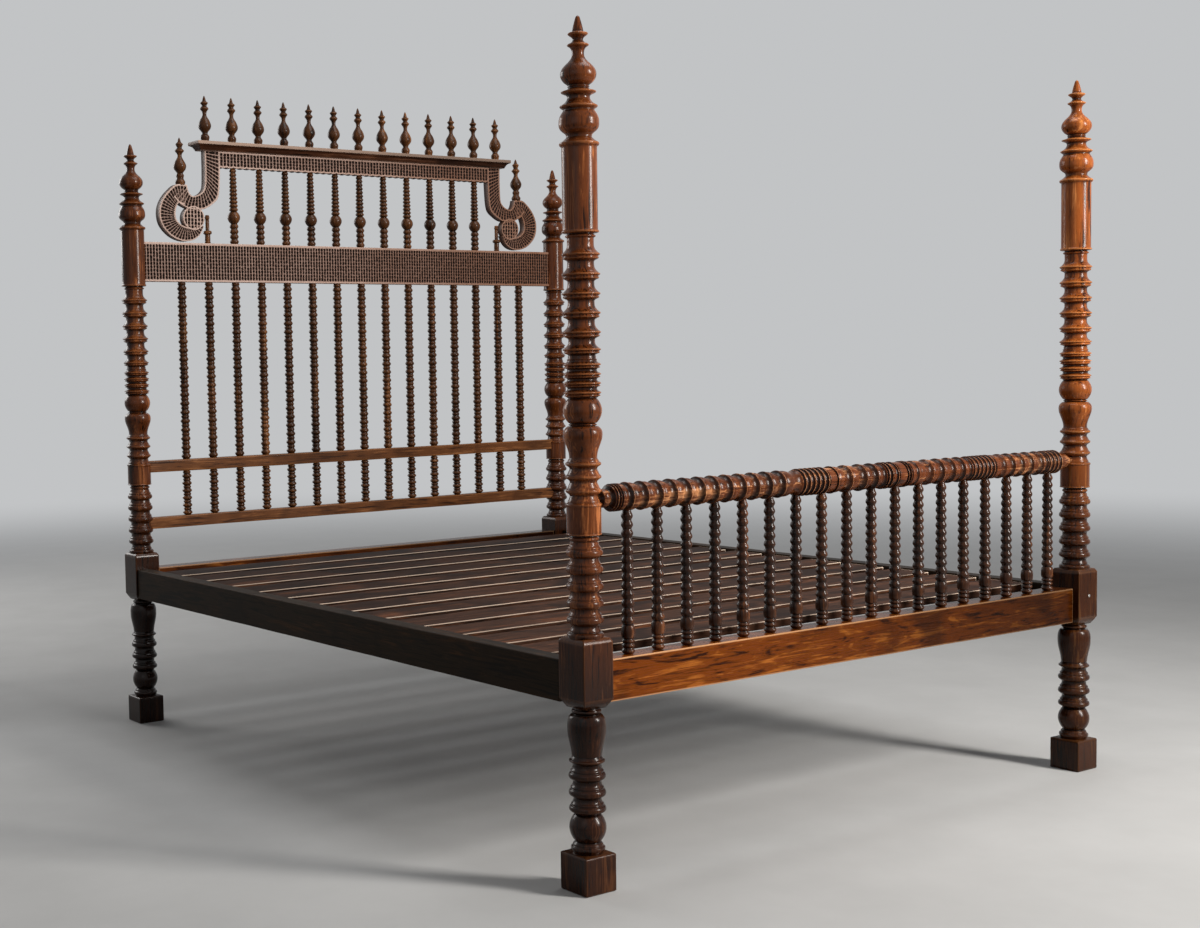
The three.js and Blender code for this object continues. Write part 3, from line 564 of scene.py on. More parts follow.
class Nodes:
    """Short names for building the nodes of a material or of the world. Lengths are in metres."""

    def __init__(self, owner, shift=0.0):
        owner.use_nodes = True
        self.owner = owner
        self.shift = shift
        self.tree = owner.node_tree
        self.tree.nodes.clear()

    def add(self, kind, inputs, **settings):
        """A node with its settings. Each input takes a constant or another node's output."""
        node = self.tree.nodes.new("ShaderNode" + kind)
        for key, value in settings.items():
            setattr(node, key, value)
        for name, value in inputs.items():
            if isinstance(value, bpy.types.NodeSocket):
                self.tree.links.new(value, node.inputs[name])
            else:
                node.inputs[name].default_value = value
        return node

    def math(self, operation, a, b, clamp=False):
        return self.add("Math", {0: a, 1: b}, operation=operation, use_clamp=clamp).outputs[0]

    def place(self):
        return self.add("TexCoord", {}).outputs["Object"]

    def noise(self, scale, detail=3.0, roughness=0.55, distortion=0.0):
        location = (self.shift, 0.7 * self.shift, 0.4 * self.shift)
        inputs = {"Vector": self.place(), "Location": location, "Scale": scale}
        moved = self.add("Mapping", inputs).outputs[0]
        inputs = {"Vector": moved, "Scale": 1.0, "Detail": detail, "Roughness": roughness,
                  "Distortion": distortion}
        return self.add("TexNoise", inputs).outputs["Fac"]

    def ramp(self, value, stops):
        """A ramp from stops of (place, colour or grey)."""
        node = self.add("ValToRGB", {0: value})
        elements = node.color_ramp.elements
        while len(elements) < len(stops):
            elements.new(0.5)
        for element, (place, colour) in zip(elements, stops):
            element.position = place
            element.color = colour if isinstance(colour, (list, tuple)) else (colour, colour, colour, 1)
        return node.outputs[0]

    def mix(self, share, a, b, blend="MIX"):
        inputs = {0: share, 6: a, 7: b}
        return self.add("Mix", inputs, data_type="RGBA", blend_type=blend).outputs[2]

    def attribute(self, name):
        node = self.add("Attribute", {}, attribute_type="GEOMETRY", attribute_name=name)
        return node.outputs["Fac"]

    def smooth_range(self, value, start, end, first=0.0, last=1.0):
        """Goes smoothly from first to last while the value goes from start to end."""
        inputs = {"Value": value, "From Min": start, "From Max": end, "To Min": first, "To Max": last}
        return self.add("MapRange", inputs, interpolation_type="SMOOTHSTEP").outputs[0]

    def along(self, axis, start, end, first, last):
        """A grey that goes from one share to another between two places on an axis."""
        place = self.add("SeparateXYZ", {0: self.place()}).outputs[axis]
        return self.smooth_range(place, start, end, first, last)

    def seen_share(self):
        """1 for rays from the camera and for the ones that metal and glass send on, and 0 for the rest."""
        path = self.add("LightPath", {}).outputs
        total = path["Is Camera Ray"]
        for name in ("Is Glossy Ray", "Is Transmission Ray"):
            total = self.math("MAXIMUM", total, path[name])
        return total

    def surface(self, colour, roughness, bump, bump_mm, coat=0.0, coat_roughness=0.1, specular=0.5,
                metallic=0.0):
        """A whole material: one principled surface with a bump of the given height."""
        normal = self.add("Bump", {"Strength": 1.0, "Distance": bump_mm * MM, "Height": bump})
        inputs = {"Base Color": colour, "Roughness": roughness, "Metallic": metallic, "Coat Weight": coat,
                  "Coat Roughness": coat_roughness, "Specular IOR Level": specular,
                  "Normal": normal.outputs[0]}
        return self.finished(self.add("BsdfPrincipled", inputs))

    def either(self, share, first, second):
        return self.add("MixShader", {0: share, 1: first.outputs[0], 2: second.outputs[0]})

    def finished(self, shader, kind="OutputMaterial"):
        """Links a shader to the output and returns what the nodes belong to."""
        self.add(kind, {"Surface": shader.outputs[0]})
        return self.owner


def stretched(axis, across, along):
    """Texture scales per metre: fine across the grain and long along it."""
    return tuple(along if name == axis else across for name in "XYZ")


def wood(name, axis, tones, figure=0.5, streaks=0.35, clouds=0.5, gloss=0.27, groove=0.7, crest=0.4,
         edge=None, specular=0.2, coat=0.06, shade=(), flame=1.0, shift=0.0):
    """Polished timber with its grain along an axis: figure, dark streaks and clouds, fibres, pores, painted
    shade in the grooves, and crests and edges painted paler, partly worn polish and partly a painted
    highlight. flame makes the figure larger and wilder, and shift moves the grain. Each run of shade is an
    axis, two places in
    metres and the brightness shares there: painted light and shade that make a piece brighter or darker from
    end to end."""
    dark, mid, light = (linear(tone) for tone in tones)
    n = Nodes(bpy.data.materials.new(name), shift)
    broad = n.noise(stretched(axis, 15 * flame, 2.4 * flame), 3.0, 0.6, 1.2 * flame)
    bands = n.noise(stretched(axis, 80, 4.5), 3.0, 0.55, 2.2)
    drift = n.noise((5.5, 6.4, 3.0), 2.0, 0.5, 0.5)
    fibres = n.noise(stretched(axis, 900, 22), 3.0, 0.65)
    pores = n.noise(stretched(axis, 1500, 70), 1.0, 0.5)
    tone = n.ramp(n.mix(figure, bands, broad), [(0.38, dark), (0.46, mid), (0.54, mid), (0.64, light)])
    tone = n.mix(n.math("MULTIPLY", n.ramp(bands, [(0.37, 1.0), (0.45, 0.0)]), streaks), tone, dark)
    tone = n.mix(n.math("MULTIPLY", n.ramp(drift, [(0.38, 1.0), (0.5, 0.0)]), clouds), tone, dark)
    tone = n.mix(n.ramp(fibres, [(0.35, 0.0), (0.72, 0.3)]), tone, light, "SOFT_LIGHT")
    tone = n.mix(n.ramp(pores, [(0.30, 0.5), (0.38, 0.0)]), tone, dark)
    wear_and_shading = n.attribute("wear_and_shading")
    # Painted shade: grooves, and the flanks counted as grooves, are darkened towards near black.
    painted_groove_shade = n.ramp(wear_and_shading, [(0.1, groove), (0.44, 0.0)])
    # Crests and edges are painted paler towards the edge colour: partly worn polish, partly a painted
    # highlight.
    rub_and_highlight = n.ramp(wear_and_shading, [(0.72, 0.0), (1.0, crest)])
    tone = n.mix(painted_groove_shade, tone, [v * 0.3 for v in dark[:3]] + [1])
    tone = n.mix(rub_and_highlight, tone, linear(edge) if edge else light)
    # Painted light and shade: each run makes the piece brighter or darker along an axis.
    for run in shade:
        tone = n.mix(1.0, tone, n.along(*run), "MULTIPLY")
    rough = n.math("ADD", n.math("MULTIPLY", fibres, 0.16), gloss - 0.08)
    height = n.math("ADD", n.math("MULTIPLY", fibres, 0.6), n.math("MULTIPLY", pores, 0.4))
    return n.surface(tone, rough, height, 0.07, coat, 0.12, specular)


def carved_wood(name, tones):
    """Gouge-carved timber: near-black pits of painted shade, brown slopes, and ridges with a pale painted
    highlight, paler on the left as a painted sheen.
    """
    pit, slope, ridge, warm = (linear(tone) for tone in tones)
    n = Nodes(bpy.data.materials.new(name))
    wear_and_shading = n.attribute("wear_and_shading")
    patch = n.math("MULTIPLY", n.noise((5, 5, 5), 3.0, 0.6), 0.6)
    grain = n.noise(stretched("Z", 700, 40), 3.0, 0.6)
    # Painted sheen: the ridges' pale painted highlight fades from the left end to a warmer colour on the
    # right, with random patches.
    side = n.math("ADD", n.along("X", -0.7, 0.75, 0.0, 0.75), n.math("SUBTRACT", patch, 0.2), True)
    painted_highlight = n.mix(side, ridge, warm)
    tone = n.ramp(n.math("ADD", wear_and_shading, n.math("MULTIPLY", n.math("SUBTRACT", grain, 0.5), 0.3)),
                  [(0.34, pit), (0.66, slope), (0.8, slope), (0.94, warm)])
    tone = n.mix(n.ramp(wear_and_shading, [(0.72, 0.0), (0.88, 0.62), (0.97, 1.0)]), tone, painted_highlight)
    tone = n.mix(n.ramp(grain, [(0.3, 0.35), (0.5, 0.0)]), tone, slope)
    rough = n.ramp(wear_and_shading, [(0.2, 0.8), (1.0, 0.4)])
    return n.surface(tone, rough, grain, 0.2, 0.0, 0.25, 0.14)


def steel():
    n = Nodes(bpy.data.materials.new("steel"))
    painted_highlight = n.noise((900, 900, 900), 3.0, 0.6)
    dull, bright = (linear(tone) for tone in STEEL_TONES)
    rough = n.ramp(painted_highlight, [(0.3, 0.42), (0.7, 0.24)])
    return n.surface(n.ramp(painted_highlight, [(0.35, dull), (0.65, bright)]), rough, painted_highlight, 0.05, metallic=1.0)


def in_mm(vector):
    return tuple(v / MM for v in vector)


def box_mm(node):
    """A node's lowest and highest corner, in millimetres."""
    low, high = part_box(node)
    return in_mm(low), in_mm(high)


def middle_mm(node):
    low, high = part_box(node)
    return in_mm((low + high) / 2)


# Posts
FOOT_BLOCK_TOP = 80.0
FOOT_BLOCK_CHAMFER = (2.2, 2.2)
RAIL_BLOCK_LOW = 384.0
RAIL_BLOCK_HIGH = 529.0
RAIL_BLOCK_INSET = 1.0
RAIL_BLOCK_FOOT_CHAMFER = (11.0, 19.0)
RAIL_BLOCK_HEAD_CHAMFER = (5.0, 8.0)
TURNING_IN_BLOCK = 20.0


def upper_turning():
    """Heights and radii of a post from its rail block to its tip."""
    rows = LOWER_TURNING + LOWER_CYLINDER + MIDDLE_TURNING + UPPER_CYLINDER
    z, r = profile(rows, RAIL_BLOCK_HIGH)
    crown = np.array(spline(CROWN, 3))
    z = np.concatenate([[RAIL_BLOCK_HIGH - TURNING_IN_BLOCK], z, z[-1] + crown[1:, 0]])
    r = np.concatenate([[r[0]], r, crown[1:, 1]])
    return z, r


def leg_turning():
    """Heights and radii of a post's leg, from inside its foot block to inside its rail block."""
    z, r = profile(LEG, FOOT_BLOCK_TOP, end=RAIL_BLOCK_LOW)
    z = np.concatenate([[FOOT_BLOCK_TOP - TURNING_IN_BLOCK], z, [RAIL_BLOCK_LOW + TURNING_IN_BLOCK]])
    r = np.concatenate([[r[0]], r, [r[-1]]])
    return z, r


def add_posts(material, amber):
    low, high = box_mm("post_foot_left")
    half = (high[0] - low[0]) / 2
    turnings = [leg_turning(), upper_turning()]
    for end in ("foot", "head"):
        for side in ("left", "right"):
            node = f"post_{end}_{side}"
            x, y, _ = middle_mm(node)
            shells = [
                square_block((x, y), half, low[2], FOOT_BLOCK_TOP, FOOT_BLOCK_CHAMFER, FOOT_BLOCK_CHAMFER),
                square_block((x, y), half - RAIL_BLOCK_INSET, RAIL_BLOCK_LOW, RAIL_BLOCK_HIGH,
                             RAIL_BLOCK_FOOT_CHAMFER, RAIL_BLOCK_HEAD_CHAMFER),
                *[lathe(z, r, (x, y, 0), segments=44, spread=4.8, depth=3.0) for z, r in turnings],
            ]
            timber = amber if node == "post_foot_right" else material
            dress(f"{end}_{side}_post", shells, timber, "post_wood", node)


# Bed rails and slats
SLAT_END_CLEARANCE = 2.0
SLAT_ARRIS = 1.8
# How much weaker the painted highlight on a slat's front edge gets with each slat from the foot
SLAT_HIGHLIGHT_LOSS = 0.014
CLEAT_HEIGHT = 30.0
CLEAT_CLEARANCE = 0.3
CLEAT_LAP = 1.0


def add_bed_rails(side_material, end_material):
    post_inner = box_mm("post_head_left")[0][1]
    slat_low, slat_high = box_mm("slat_01")
    inner = slat_high[0] + SLAT_END_CLEARANCE
    for side, sign in (("left", -1), ("right", 1)):
        node = f"side_rail_{side}"
        low, high = box_mm(node)
        outer = max(abs(low[0]), abs(high[0]))
        cleat = min(abs(low[0]), abs(high[0]))
        cleat_top = slat_low[2] - CLEAT_CLEARANCE
        x0, x1 = sorted((sign * inner, sign * outer))
        rail = beam((x0, -post_inner, low[2]), (x1, post_inner, high[2]), "Y",
                    corner=1.8, sway=0.5, seed=3.0 + sign)
        x0, x1 = sorted((sign * cleat, sign * (inner + CLEAT_LAP)))
        carrier = beam((x0, CLEAT_LAP - post_inner, slat_low[2] - CLEAT_HEIGHT),
                       (x1, post_inner - CLEAT_LAP, cleat_top), "Y", corner=1.0, sway=0.2)
        dress(f"side_rail_{side}_timber", [rail, carrier], side_material, "side_rail_wood", node)
    inner = box_mm("post_foot_right")[0][0]
    for end in ("foot", "head"):
        node = f"{end}_rail"
        low, high = box_mm(node)
        rail = beam((-inner, low[1], low[2]), (inner, high[1], high[2]), "X",
                    corner=2.0, sway=0.5, seed=11.0)
        dress(f"{end}_rail_timber", [rail], end_material, "end_rail_wood", node)


def add_slats(material):
    """The slats, whose front edges carry a pale painted highlight, a little weaker with each slat from the
    foot.
    """
    for index in range(1, 13):
        node = f"slat_{index:02d}"
        low, high = box_mm(node)
        painted_highlight = 1.0 - SLAT_HIGHLIGHT_LOSS * (index - 1)
        board = beam(low, high, "X", corner=1.4, sway=0.6, seed=20.0 + 3.7 * index, step=60,
                     arris=SLAT_ARRIS, painted_highlight=painted_highlight)
        dress(f"slat_{index:02d}_board", [board], material, "slat_wood", node)


# Footboard
RAIL_PIN_RADIUS = 11.0
RAIL_PIN_STEP = 0.5
RAIL_PIN_INSET = 1.0
SPINDLE_DOWEL_RADIUS = 6.0
SPINDLE_DOWEL_LENGTH = 10.0
SPINDLE_CLEARANCE = 0.2


def spindle_rows():
    wide, slim = SPINDLE_RADII
    beads = []
    for k in range(SPINDLE_BEADS):
        crest = wide + (slim - wide) * k / (SPINDLE_BEADS - 1)
        beads.append(("bun", SPINDLE_BEAD_LENGTH, SPINDLE_NECK_SHARE * crest, crest))
    return SPINDLE_FOOT + beads


def add_footboard(rail_material, spindle_material):
    node = "footboard_turned_rail"
    low, high = box_mm(node)
    inner = box_mm("post_foot_right")[0][0]
    x, r = profile(TURNED_RAIL, -inner, end=inner)
    x = np.array([low[0] + RAIL_PIN_INSET, -inner - RAIL_PIN_STEP, *x,
                  inner + RAIL_PIN_STEP, high[0] - RAIL_PIN_INSET])
    r = np.array([RAIL_PIN_RADIUS, RAIL_PIN_RADIUS, *r, RAIL_PIN_RADIUS, RAIL_PIN_RADIUS])
    middle = (0, (low[1] + high[1]) / 2, (low[2] + high[2]) / 2)
    rail = lathe(x, r, middle, segments=44, axis="X", spread=8.0, depth=3.4, flank_shade=1.0)
    dress("footboard_rail_turned", [rail], rail_material, "turned_rail_wood", node)
    rail_top = box_mm("foot_rail")[1][2]
    for index in range(1, 19):
        node = f"footboard_spindle_{index:02d}"
        x, y, _ = middle_mm(node)
        _, high = box_mm(node)
        z, r = profile(spindle_rows(), rail_top + SPINDLE_CLEARANCE)
        z = np.array([rail_top - SPINDLE_DOWEL_LENGTH, rail_top - SPINDLE_CLEARANCE / 2, *z, high[2]])
        r = np.array([SPINDLE_DOWEL_RADIUS, SPINDLE_DOWEL_RADIUS, *r, SPINDLE_DOWEL_RADIUS])
        spindle = lathe(z, r, (x, y, 0), segments=24)
        dress(f"spindle_{index:02d}", [spindle], spindle_material, "spindle_wood", node)


# Headboard
COLUMN_DOWEL_RADIUS = 8.0
COLUMN_DOWEL_LENGTH = 8.0
COLUMN_CLEARANCE = 0.2
STUB_TIP_RADIUS = 0.3
COLUMN_KINDS = {1: "short", 2: "stub", 14: "stub", 15: "short"}


def column_profile(kind, levels):
    """Heights and radii of a column. Its turned lengths lie between the levels of the rails it meets."""
    lower_top, middle_low, middle_top, carved_low, carved_top, frieze = levels
    stub_top = carved_top + STUB_HEIGHT
    pieces = [(SHORT_COLUMN, lower_top, middle_low), (LONG_COLUMN, middle_top, carved_low)]
    if kind == "full":
        crests = np.linspace(*UPPER_COLUMN_RADII, UPPER_COLUMN_RINGS)
        rings = [("bun", UPPER_COLUMN_RING_LENGTH, SPINDLE_NECK_SHARE * crest, crest) for crest in crests]
        pieces.append((UPPER_COLUMN_FOOT + rings, carved_top, frieze))
    if kind == "stub":
        pieces.append((STUB, carved_top, stub_top))
    z, r = [lower_top - COLUMN_DOWEL_LENGTH, lower_top], [COLUMN_DOWEL_RADIUS] * 2
    for rows, start, end in pieces:
        section_z, section_r = profile(rows, start + COLUMN_CLEARANCE, end=end - COLUMN_CLEARANCE)
        z += [*section_z, end + COLUMN_CLEARANCE / 2]
        r += [*section_r, COLUMN_DOWEL_RADIUS]
    if kind == "stub":
        z[-1], r[-1] = stub_top - COLUMN_CLEARANCE / 2, STUB_TIP_RADIUS
    else:
        z.append(z[-1] + COLUMN_DOWEL_LENGTH)
        r.append(COLUMN_DOWEL_RADIUS)
    return np.array(z), np.array(r)


def add_columns(material):
    lower, middle, carved = (box_mm(f"headboard_{name}_rail") for name in ("lower", "middle", "carved"))
    frieze = box_mm("headboard_cornice")[0][2]
    levels = (lower[1][2], middle[0][2], middle[1][2], carved[0][2], carved[1][2], frieze)
    for index in range(1, 16):
        node = f"headboard_column_{index:02d}"
        x, y, _ = middle_mm(node)
        z, r = column_profile(COLUMN_KINDS.get(index, "full"), levels)
        column = lathe(z, r, (x, y, 0), segments=20)
        dress(f"column_{index:02d}", [column], material, "spindle_wood", node)


def add_plain_rails(material):
    for place, seed in (("lower", 31.0), ("middle", 37.0)):
        node = f"headboard_{place}_rail"
        low, high = box_mm(node)
        rail = beam(low, high, "X", corner=2.2, sway=1.2, seed=seed, step=30)
        dress(f"headboard_{place}_rail_timber", [rail], material, "plain_rail_wood", node)


GOUGE_WIDTH = 10.4
GOUGE_CUTS = 10


def add_carved_rail(material):
    node = "headboard_carved_rail"
    low, high = box_mm(node)
    width = high[0] - low[0]
    low_edge = lambda s: (low[0] + width * s, low[2])
    high_edge = lambda s: (low[0] + width * s, high[2])
    rows = round(width / GOUGE_WIDTH)
    board = carved_strip(low_edge, high_edge, rows, GOUGE_CUTS, low[1], high[1],
                         relief=2.6, lips=0.6, seed=5)
    dress("headboard_carved_board", [board], material, "carved_wood", node)


# How far a finial reaches into the timber below it, and how far it stays under the node's top
FINIAL_SUNK = 1.0
FINIAL_CLEARANCE = 0.2


def turned_finial(outline, x, y, base, top):
    length = top - base - FINIAL_CLEARANCE
    curve = np.array(spline(outline, 5))
    z = np.array([base - FINIAL_SUNK, *(base + curve[:, 0] * length)])
    return lathe(z, np.array([curve[0, 1], *curve[:, 1]]), (x, y, 0), segments=28)


# Heights of the moulding's front line as shares, and how far it is set back, in millimetres
MOULDING = [(0, 17), (0.08, 15.5), (0.2, 15), (0.24, 13), (0.3, 12.6), (0.38, 11.6), (0.46, 9.6),
    (0.53, 6.6), (0.59, 3), (0.62, 1.2), (0.64, 0.3), (0.68, 0), (0.94, 0), (0.99, 0.7), (1, 1.6)]
MOULDING_HEIGHT = 28.0
MOULDING_CORNER = 0.8
# Shares of the height whose bands carry a pale painted highlight
MOULDING_HIGHLIGHT_BANDS = ((-0.01, 0.05), (0.62, 0.75), (0.9, 1.01))
FRIEZE_LOW = 239.0
FRIEZE_HIGH = 291.0
FRIEZE_HALF_WIDTH = 535.0
FRIEZE_CUT_WIDTH = 12.1
SCALLOP_DEPTH = 2.6
SCALLOP_TOP = 2.8


def add_frieze(material, base, front, back):
    """The carved board under the cornice, with one scallop along its lower edge for every two cuts."""
    rows = round(2 * FRIEZE_HALF_WIDTH / FRIEZE_CUT_WIDTH)
    across = lambda s: -FRIEZE_HALF_WIDTH + 2 * FRIEZE_HALF_WIDTH * s
    scallop = lambda s: SCALLOP_DEPTH * abs(math.sin(math.pi * s * rows / 2))
    low_edge = lambda s: (across(s), base + FRIEZE_LOW + SCALLOP_TOP - scallop(s))
    high_edge = lambda s: (across(s), base + FRIEZE_HIGH)
    board = carved_strip(low_edge, high_edge, rows, 4, front, back, relief=2.4, lips=0.5, seed=9)
    dress("headboard_frieze", [board], material, "cornice_wood", "headboard_cornice")


def add_moulding(material, base, half_x, half_y, middle):
    """The cornice's moulding, with a painted highlight on its flat bands and none in its hollow."""
    stations = []
    for share, inset in MOULDING:
        points, wear_and_shading = rounded_section(half_x - inset, half_y - inset, MOULDING_CORNER)
        edge = 1.0 if any(low < share < high for low, high in MOULDING_HIGHLIGHT_BANDS) else 0.45
        stations.append((base + share * MOULDING_HEIGHT, points + (0, middle), np.full(len(points), edge)))
    moulding = loft(stations, AXIS_ORDERS["Z"])
    dress("headboard_moulding", [moulding], material, "cornice_wood", "headboard_cornice")


def add_cornice(carved, moulded, finial_material):
    low, high = box_mm("headboard_cornice")
    (_, front, _), (_, back, carved_top) = box_mm("headboard_carved_rail")
    middle = (front + back) / 2
    frieze_high = carved_top + FRIEZE_HIGH
    cornice_high = frieze_high + MOULDING_HEIGHT
    add_frieze(carved, carved_top, front, back)
    add_moulding(moulded, frieze_high, high[0], (high[1] - low[1]) / 2, middle)
    places = [middle_mm(f"headboard_column_{index:02d}")[0] for index in range(2, 15)]
    finials = [turned_finial(FINIAL, x, middle, cornice_high, high[2]) for x in places]
    dress("headboard_finials", finials, finial_material, "cornice_wood", "headboard_cornice")


# Scroll edges, as distances from the bed's middle and heights above the carved rail, in millimetres
LEG_INNER = [(535, 291), (535, 262), (535, 235), (539, 170), (547, 140), (568, 121.5), (593, 108),
    (618, 104.5), (642, 105.5), (664, 113), (683, 124), (700, 141)]
LEG_OUTER = [(588, 291), (588, 262), (588, 232), (590, 182), (597, 164), (612, 152), (632, 146), (641, 150),
    (647, 157), (651, 167), (653, 176), (654, 181)]
CURL_OUTER = [(654, 181), (688, 181), (712, 165), (735, 140), (749, 111.5), (752, 83), (745, 55), (726, 31),
    (701, 14), (669, 5), (636.5, 9), (612, 26), (597, 54)]
CURL_INNER = [(662, 118), (672, 120), (683, 124), (691, 113), (695.5, 97), (696, 81), (692, 70), (684, 61),
    (675, 55), (663, 50), (650, 47), (636, 46), (620, 52)]
BOSS_CENTRE = (632, 78)
BOSS_RADIUS = 37.5
BOSS_RINGS = 44
BOSS_SEGMENTS = 120
BOSS_CELL = 11.5
BOSS_CELLS = 16
SCROLL_RELIEF = 2.2
SCROLL_FINIAL_OUT = 670.7
SCROLL_FINIAL_SEAT = 181.0
# The scroll stands a little clear of the carved rail: its seat, and its height as a share
SCROLL_SEAT = 0.4
SCROLL_HEIGHT_SHARE = 0.998


def curve_through(points):
    """A function from a share of the way to a smooth point of the curve, evenly by length."""
    fine = np.array(spline(points, 14))
    along = np.concatenate([[0], np.cumsum(np.hypot(*np.diff(fine, axis=0).T))])
    along /= along[-1]
    return lambda s: (np.interp(s, along, fine[:, 0]), np.interp(s, along, fine[:, 1]))


def add_scroll(side, carved, finial_material):
    node = f"headboard_scroll_{side}"
    sign = -1 if side == "left" else 1
    (_, front, _), (_, back, base) = box_mm("headboard_carved_rail")

    def placed(points):
        curve = curve_through(points)
        return lambda s: (sign * curve(s)[0], base + SCROLL_SEAT + curve(s)[1] * SCROLL_HEIGHT_SHARE)

    # The curl, the leg and the boss lie at slightly different depths, so that no faces coincide.
    shells = [
        carved_strip(placed(CURL_INNER), placed(CURL_OUTER), 32, 4, front + 0.4, back,
                     SCROLL_RELIEF, lips=0.45, seed=13, ridge=0.88),
        carved_strip(placed(LEG_INNER), placed(LEG_OUTER), 24, 4, front + 0.2, back - 0.4,
                     SCROLL_RELIEF, lips=0.45, seed=14, ridge=0.88),
        boss(sign * BOSS_CENTRE[0], base + BOSS_CENTRE[1], front + 0.2, back - 0.8),
    ]
    dress(f"scroll_{side}_carved", shells, carved, "scroll_wood", node)
    x, y = sign * SCROLL_FINIAL_OUT, (front + back) / 2
    finial = turned_finial(SCROLL_FINIAL, x, y, base + SCROLL_FINIAL_SEAT, box_mm(node)[1][2])
    dress(f"scroll_{side}_finial", [finial], finial_material, "scroll_wood", node)


def boss(x, z, front, back):
    """The round end of a scroll, gouged in straight rows inside a raised rim."""
    radii = np.linspace(0.8, BOSS_RADIUS, BOSS_RINGS)
    angles = np.linspace(0, 2 * math.pi, BOSS_SEGMENTS, endpoint=False)
    r, a = np.meshgrid(radii, angles, indexing="ij")
    px, pz = r * np.cos(a), r * np.sin(a)
    u, v = (p / BOSS_CELL + BOSS_CELLS / 2 for p in (px, pz))
    height = gouged(u, v, pits((BOSS_CELLS, BOSS_CELLS), 21))
    rim = np.clip((r / BOSS_RADIUS - 0.86) / 0.05, 0, 1)
    height = (height * (1 - rim) + 1.06 * rim).ravel()
    depth = front + SCROLL_RELIEF * (1 - height) + CARVING_SINK
    face = np.column_stack([x + px.ravel(), depth, z + pz.ravel()])
    behind = np.column_stack([x + px[-1], np.full(BOSS_SEGMENTS, back), z + pz[-1]])
    verts = np.concatenate([[[x, front + SCROLL_RELIEF * 0.3, z]], face, behind])
    wear_and_shading = np.concatenate([[0.6], np.clip(height, 0, 1), np.full(BOSS_SEGMENTS, 0.5)])
    last = 1 + BOSS_RINGS * BOSS_SEGMENTS
    faces = [(0, 1 + j, 1 + (j + 1) % BOSS_SEGMENTS) for j in range(BOSS_SEGMENTS)]
    faces += [(a, d, c, b) for a, b, c, d in sleeve(BOSS_RINGS + 1, BOSS_SEGMENTS, 1)]
    faces.append(tuple(last + j for j in reversed(range(BOSS_SEGMENTS))))
    return verts, faces, wear_and_shading, BOSS_RINGS * BOSS_SEGMENTS


BOLT_RADIUS = 4.2
BOLT_RISE = 1.6
BOLT_OUT = 845.0
BOLT_HEIGHT = 459.0


def add_bolt(material):
    """The small bright bolt head on the right foot post's rail block."""
    low, _ = box_mm("post_foot_right")
    angles = np.linspace(0, math.pi / 2, 8)
    z = np.array([-4, *(BOLT_RISE * np.sin(angles))])
    r = np.array([BOLT_RADIUS, *(BOLT_RADIUS * np.cos(angles) + 0.05)])
    turn = np.array(Matrix.Rotation(math.pi / 2, 3, "X"))
    seat = (BOLT_OUT, low[1] + BOLT_RISE + 0.1, BOLT_HEIGHT)
    verts, *rest = lathe(z, r, (0, 0, 0), segments=24)
    piece = gathered("foot_right_bolt_head", [(verts @ turn.T + seat, *rest)])
    piece.data.materials.append(material)
    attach(piece, BODY)


# Camera, lights and floor
def add_camera():
    yaw, pitch, roll = (math.radians(v) for v in (CAMERA_YAW_DEG, CAMERA_PITCH_DEG, CAMERA_ROLL_DEG))
    rotation = (Matrix.Rotation(-yaw, 4, "Z") @ Matrix.Rotation(math.pi / 2 + pitch, 4, "X")
                @ Matrix.Rotation(roll, 4, "Z"))
    data = bpy.data.cameras.new("camera")
    data.sensor_width = SENSOR_MM
    data.lens = LENS_MM
    data.shift_x = SHIFT_X
    data.clip_start, data.clip_end = 0.05, 60
    camera = bpy.data.objects.new("camera", data)
    camera.matrix_world = Matrix.Translation(CAMERA_PLACE) @ rotation
    bpy.context.scene.collection.objects.link(camera)
    bpy.context.scene.camera = camera


# Name, place, aim, size, watts, colour and how far the beam opens in degrees. The key lamp's beam is
# narrow enough that the floor under the lamp stays below white.
LAMPS = [
    ("key", (1.6, -4.2, 2.45), (0, -0.2, 0.8), (0.7, 2.0), 118, (1.0, 0.965, 0.92), 130),
    ("fill", (-4.4, -2.6, 2.6), (0, 0, 0.7), (2.6, 2.2), 7, (0.95, 0.97, 1.0), 180),
    ("top", (0.4, -0.6, 4.4), (0, 1.0, 0.9), (2.2, 2.2), 60, (1.0, 1.0, 1.0), 180),
    ("back", (-1.6, 4.8, 2.6), (0, 0.6, 0.9), (2.4, 2.0), 70, (1.0, 0.985, 0.965), 180),
]


def add_lights():
    for name, place, aim, size, power, colour, opening in LAMPS:
        data = bpy.data.lights.new(name, "AREA")
        data.shape = "RECTANGLE"
        data.size, data.size_y = size
        data.energy = power
        data.spread = math.radians(opening)
        data.color = colour
        lamp = bpy.data.objects.new(name, data)
        bpy.context.scene.collection.objects.link(lamp)
        lamp.location = place
        lamp.rotation_mode = "QUATERNION"
        lamp.rotation_quaternion = (Vector(aim) - Vector(place)).to_track_quat("-Z", "Y")


BACKGROUND = (0.54, 0.55, 0.56, 1)
WORLD_LIGHT = (0.96, 0.98, 1.0, 1)
WORLD_STRENGTH = 0.08
FLOOR_RADIUS = 14.0
FLOOR_SEGMENTS = 96
FLOOR_SEEN = ((0.56, 0.56, 0.555, 1), (0.61, 0.61, 0.605, 1))
FLOOR_LIT = (0.3, 0.3, 0.3, 1)
# The distances from the bed's middle between which the floor fades into the background
FLOOR_FADE = (3.0, 10.0)


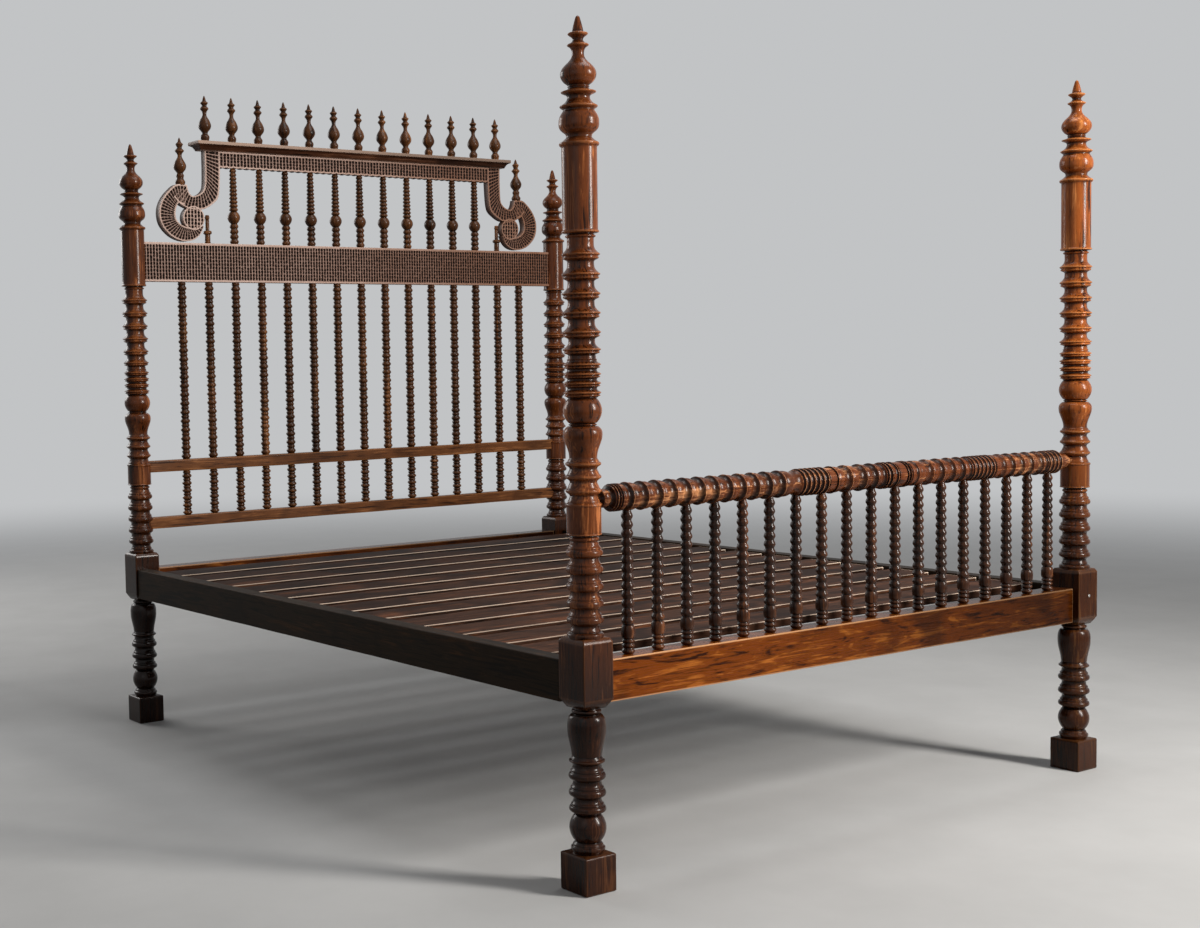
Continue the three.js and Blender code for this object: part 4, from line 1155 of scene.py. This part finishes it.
def add_world():
    world = bpy.data.worlds.new("world")
    bpy.context.scene.world = world
    n = Nodes(world)
    lit = n.add("Background", {"Color": WORLD_LIGHT, "Strength": WORLD_STRENGTH})
    seen = n.add("Background", {"Color": BACKGROUND, "Strength": 1.0})
    n.finished(n.either(n.seen_share(), lit, seen), "OutputWorld")


def add_floor():
    """A pale round floor that fades into the background far from the bed."""
    angles = np.linspace(0, 2 * math.pi, FLOOR_SEGMENTS, endpoint=False)
    verts = [(0, 0, 0)] + [(FLOOR_RADIUS * math.cos(a), FLOOR_RADIUS * math.sin(a), 0) for a in angles]
    faces = [(0, 1 + j, 1 + (j + 1) % FLOOR_SEGMENTS) for j in range(FLOOR_SEGMENTS)]
    floor = mesh_object("floor", verts, faces, np.zeros(len(verts)), [False] * len(faces))
    n = Nodes(bpy.data.materials.new("floor"))
    seen = n.seen_share()
    pale = n.ramp(n.noise((3, 3, 3), 4.0, 0.6), [(0.3, FLOOR_SEEN[0]), (0.7, FLOOR_SEEN[1])])
    plain = n.add("BsdfPrincipled", {
        "Base Color": n.mix(seen, FLOOR_LIT, pale), "Roughness": 0.6, "Specular IOR Level": 0.05})
    glow = n.add("Emission", {"Color": BACKGROUND})
    distance = n.add("VectorMath", {0: n.place()}, operation="LENGTH").outputs["Value"]
    share = n.math("MULTIPLY", n.smooth_range(distance, *FLOOR_FADE), seen)
    floor.data.materials.append(n.finished(n.either(share, plain, glow)))


def add_bed():
    woods = {name: wood(name, **look) for name, look in WOODS.items()}
    column = woods["column_wood"]
    carved = carved_wood("carved_wood", CARVED_TONES)
    add_posts(woods["post_wood"], woods["post_wood_amber"])
    add_bed_rails(woods["side_rail_wood"], woods["end_rail_wood"])
    add_slats(woods["slat_wood"])
    add_footboard(woods["turned_rail_wood"], woods["spindle_wood"])
    add_columns(column)
    add_plain_rails(woods["plain_rail_wood"])
    add_carved_rail(carved)
    add_cornice(carved, woods["cornice_wood"], column)
    for side in ("left", "right"):
        add_scroll(side, carved, column)
    add_bolt(steel())


bpy.context.scene.view_settings.view_transform = "Standard"
add_camera()
add_lights()
add_world()
add_floor()
add_bed()
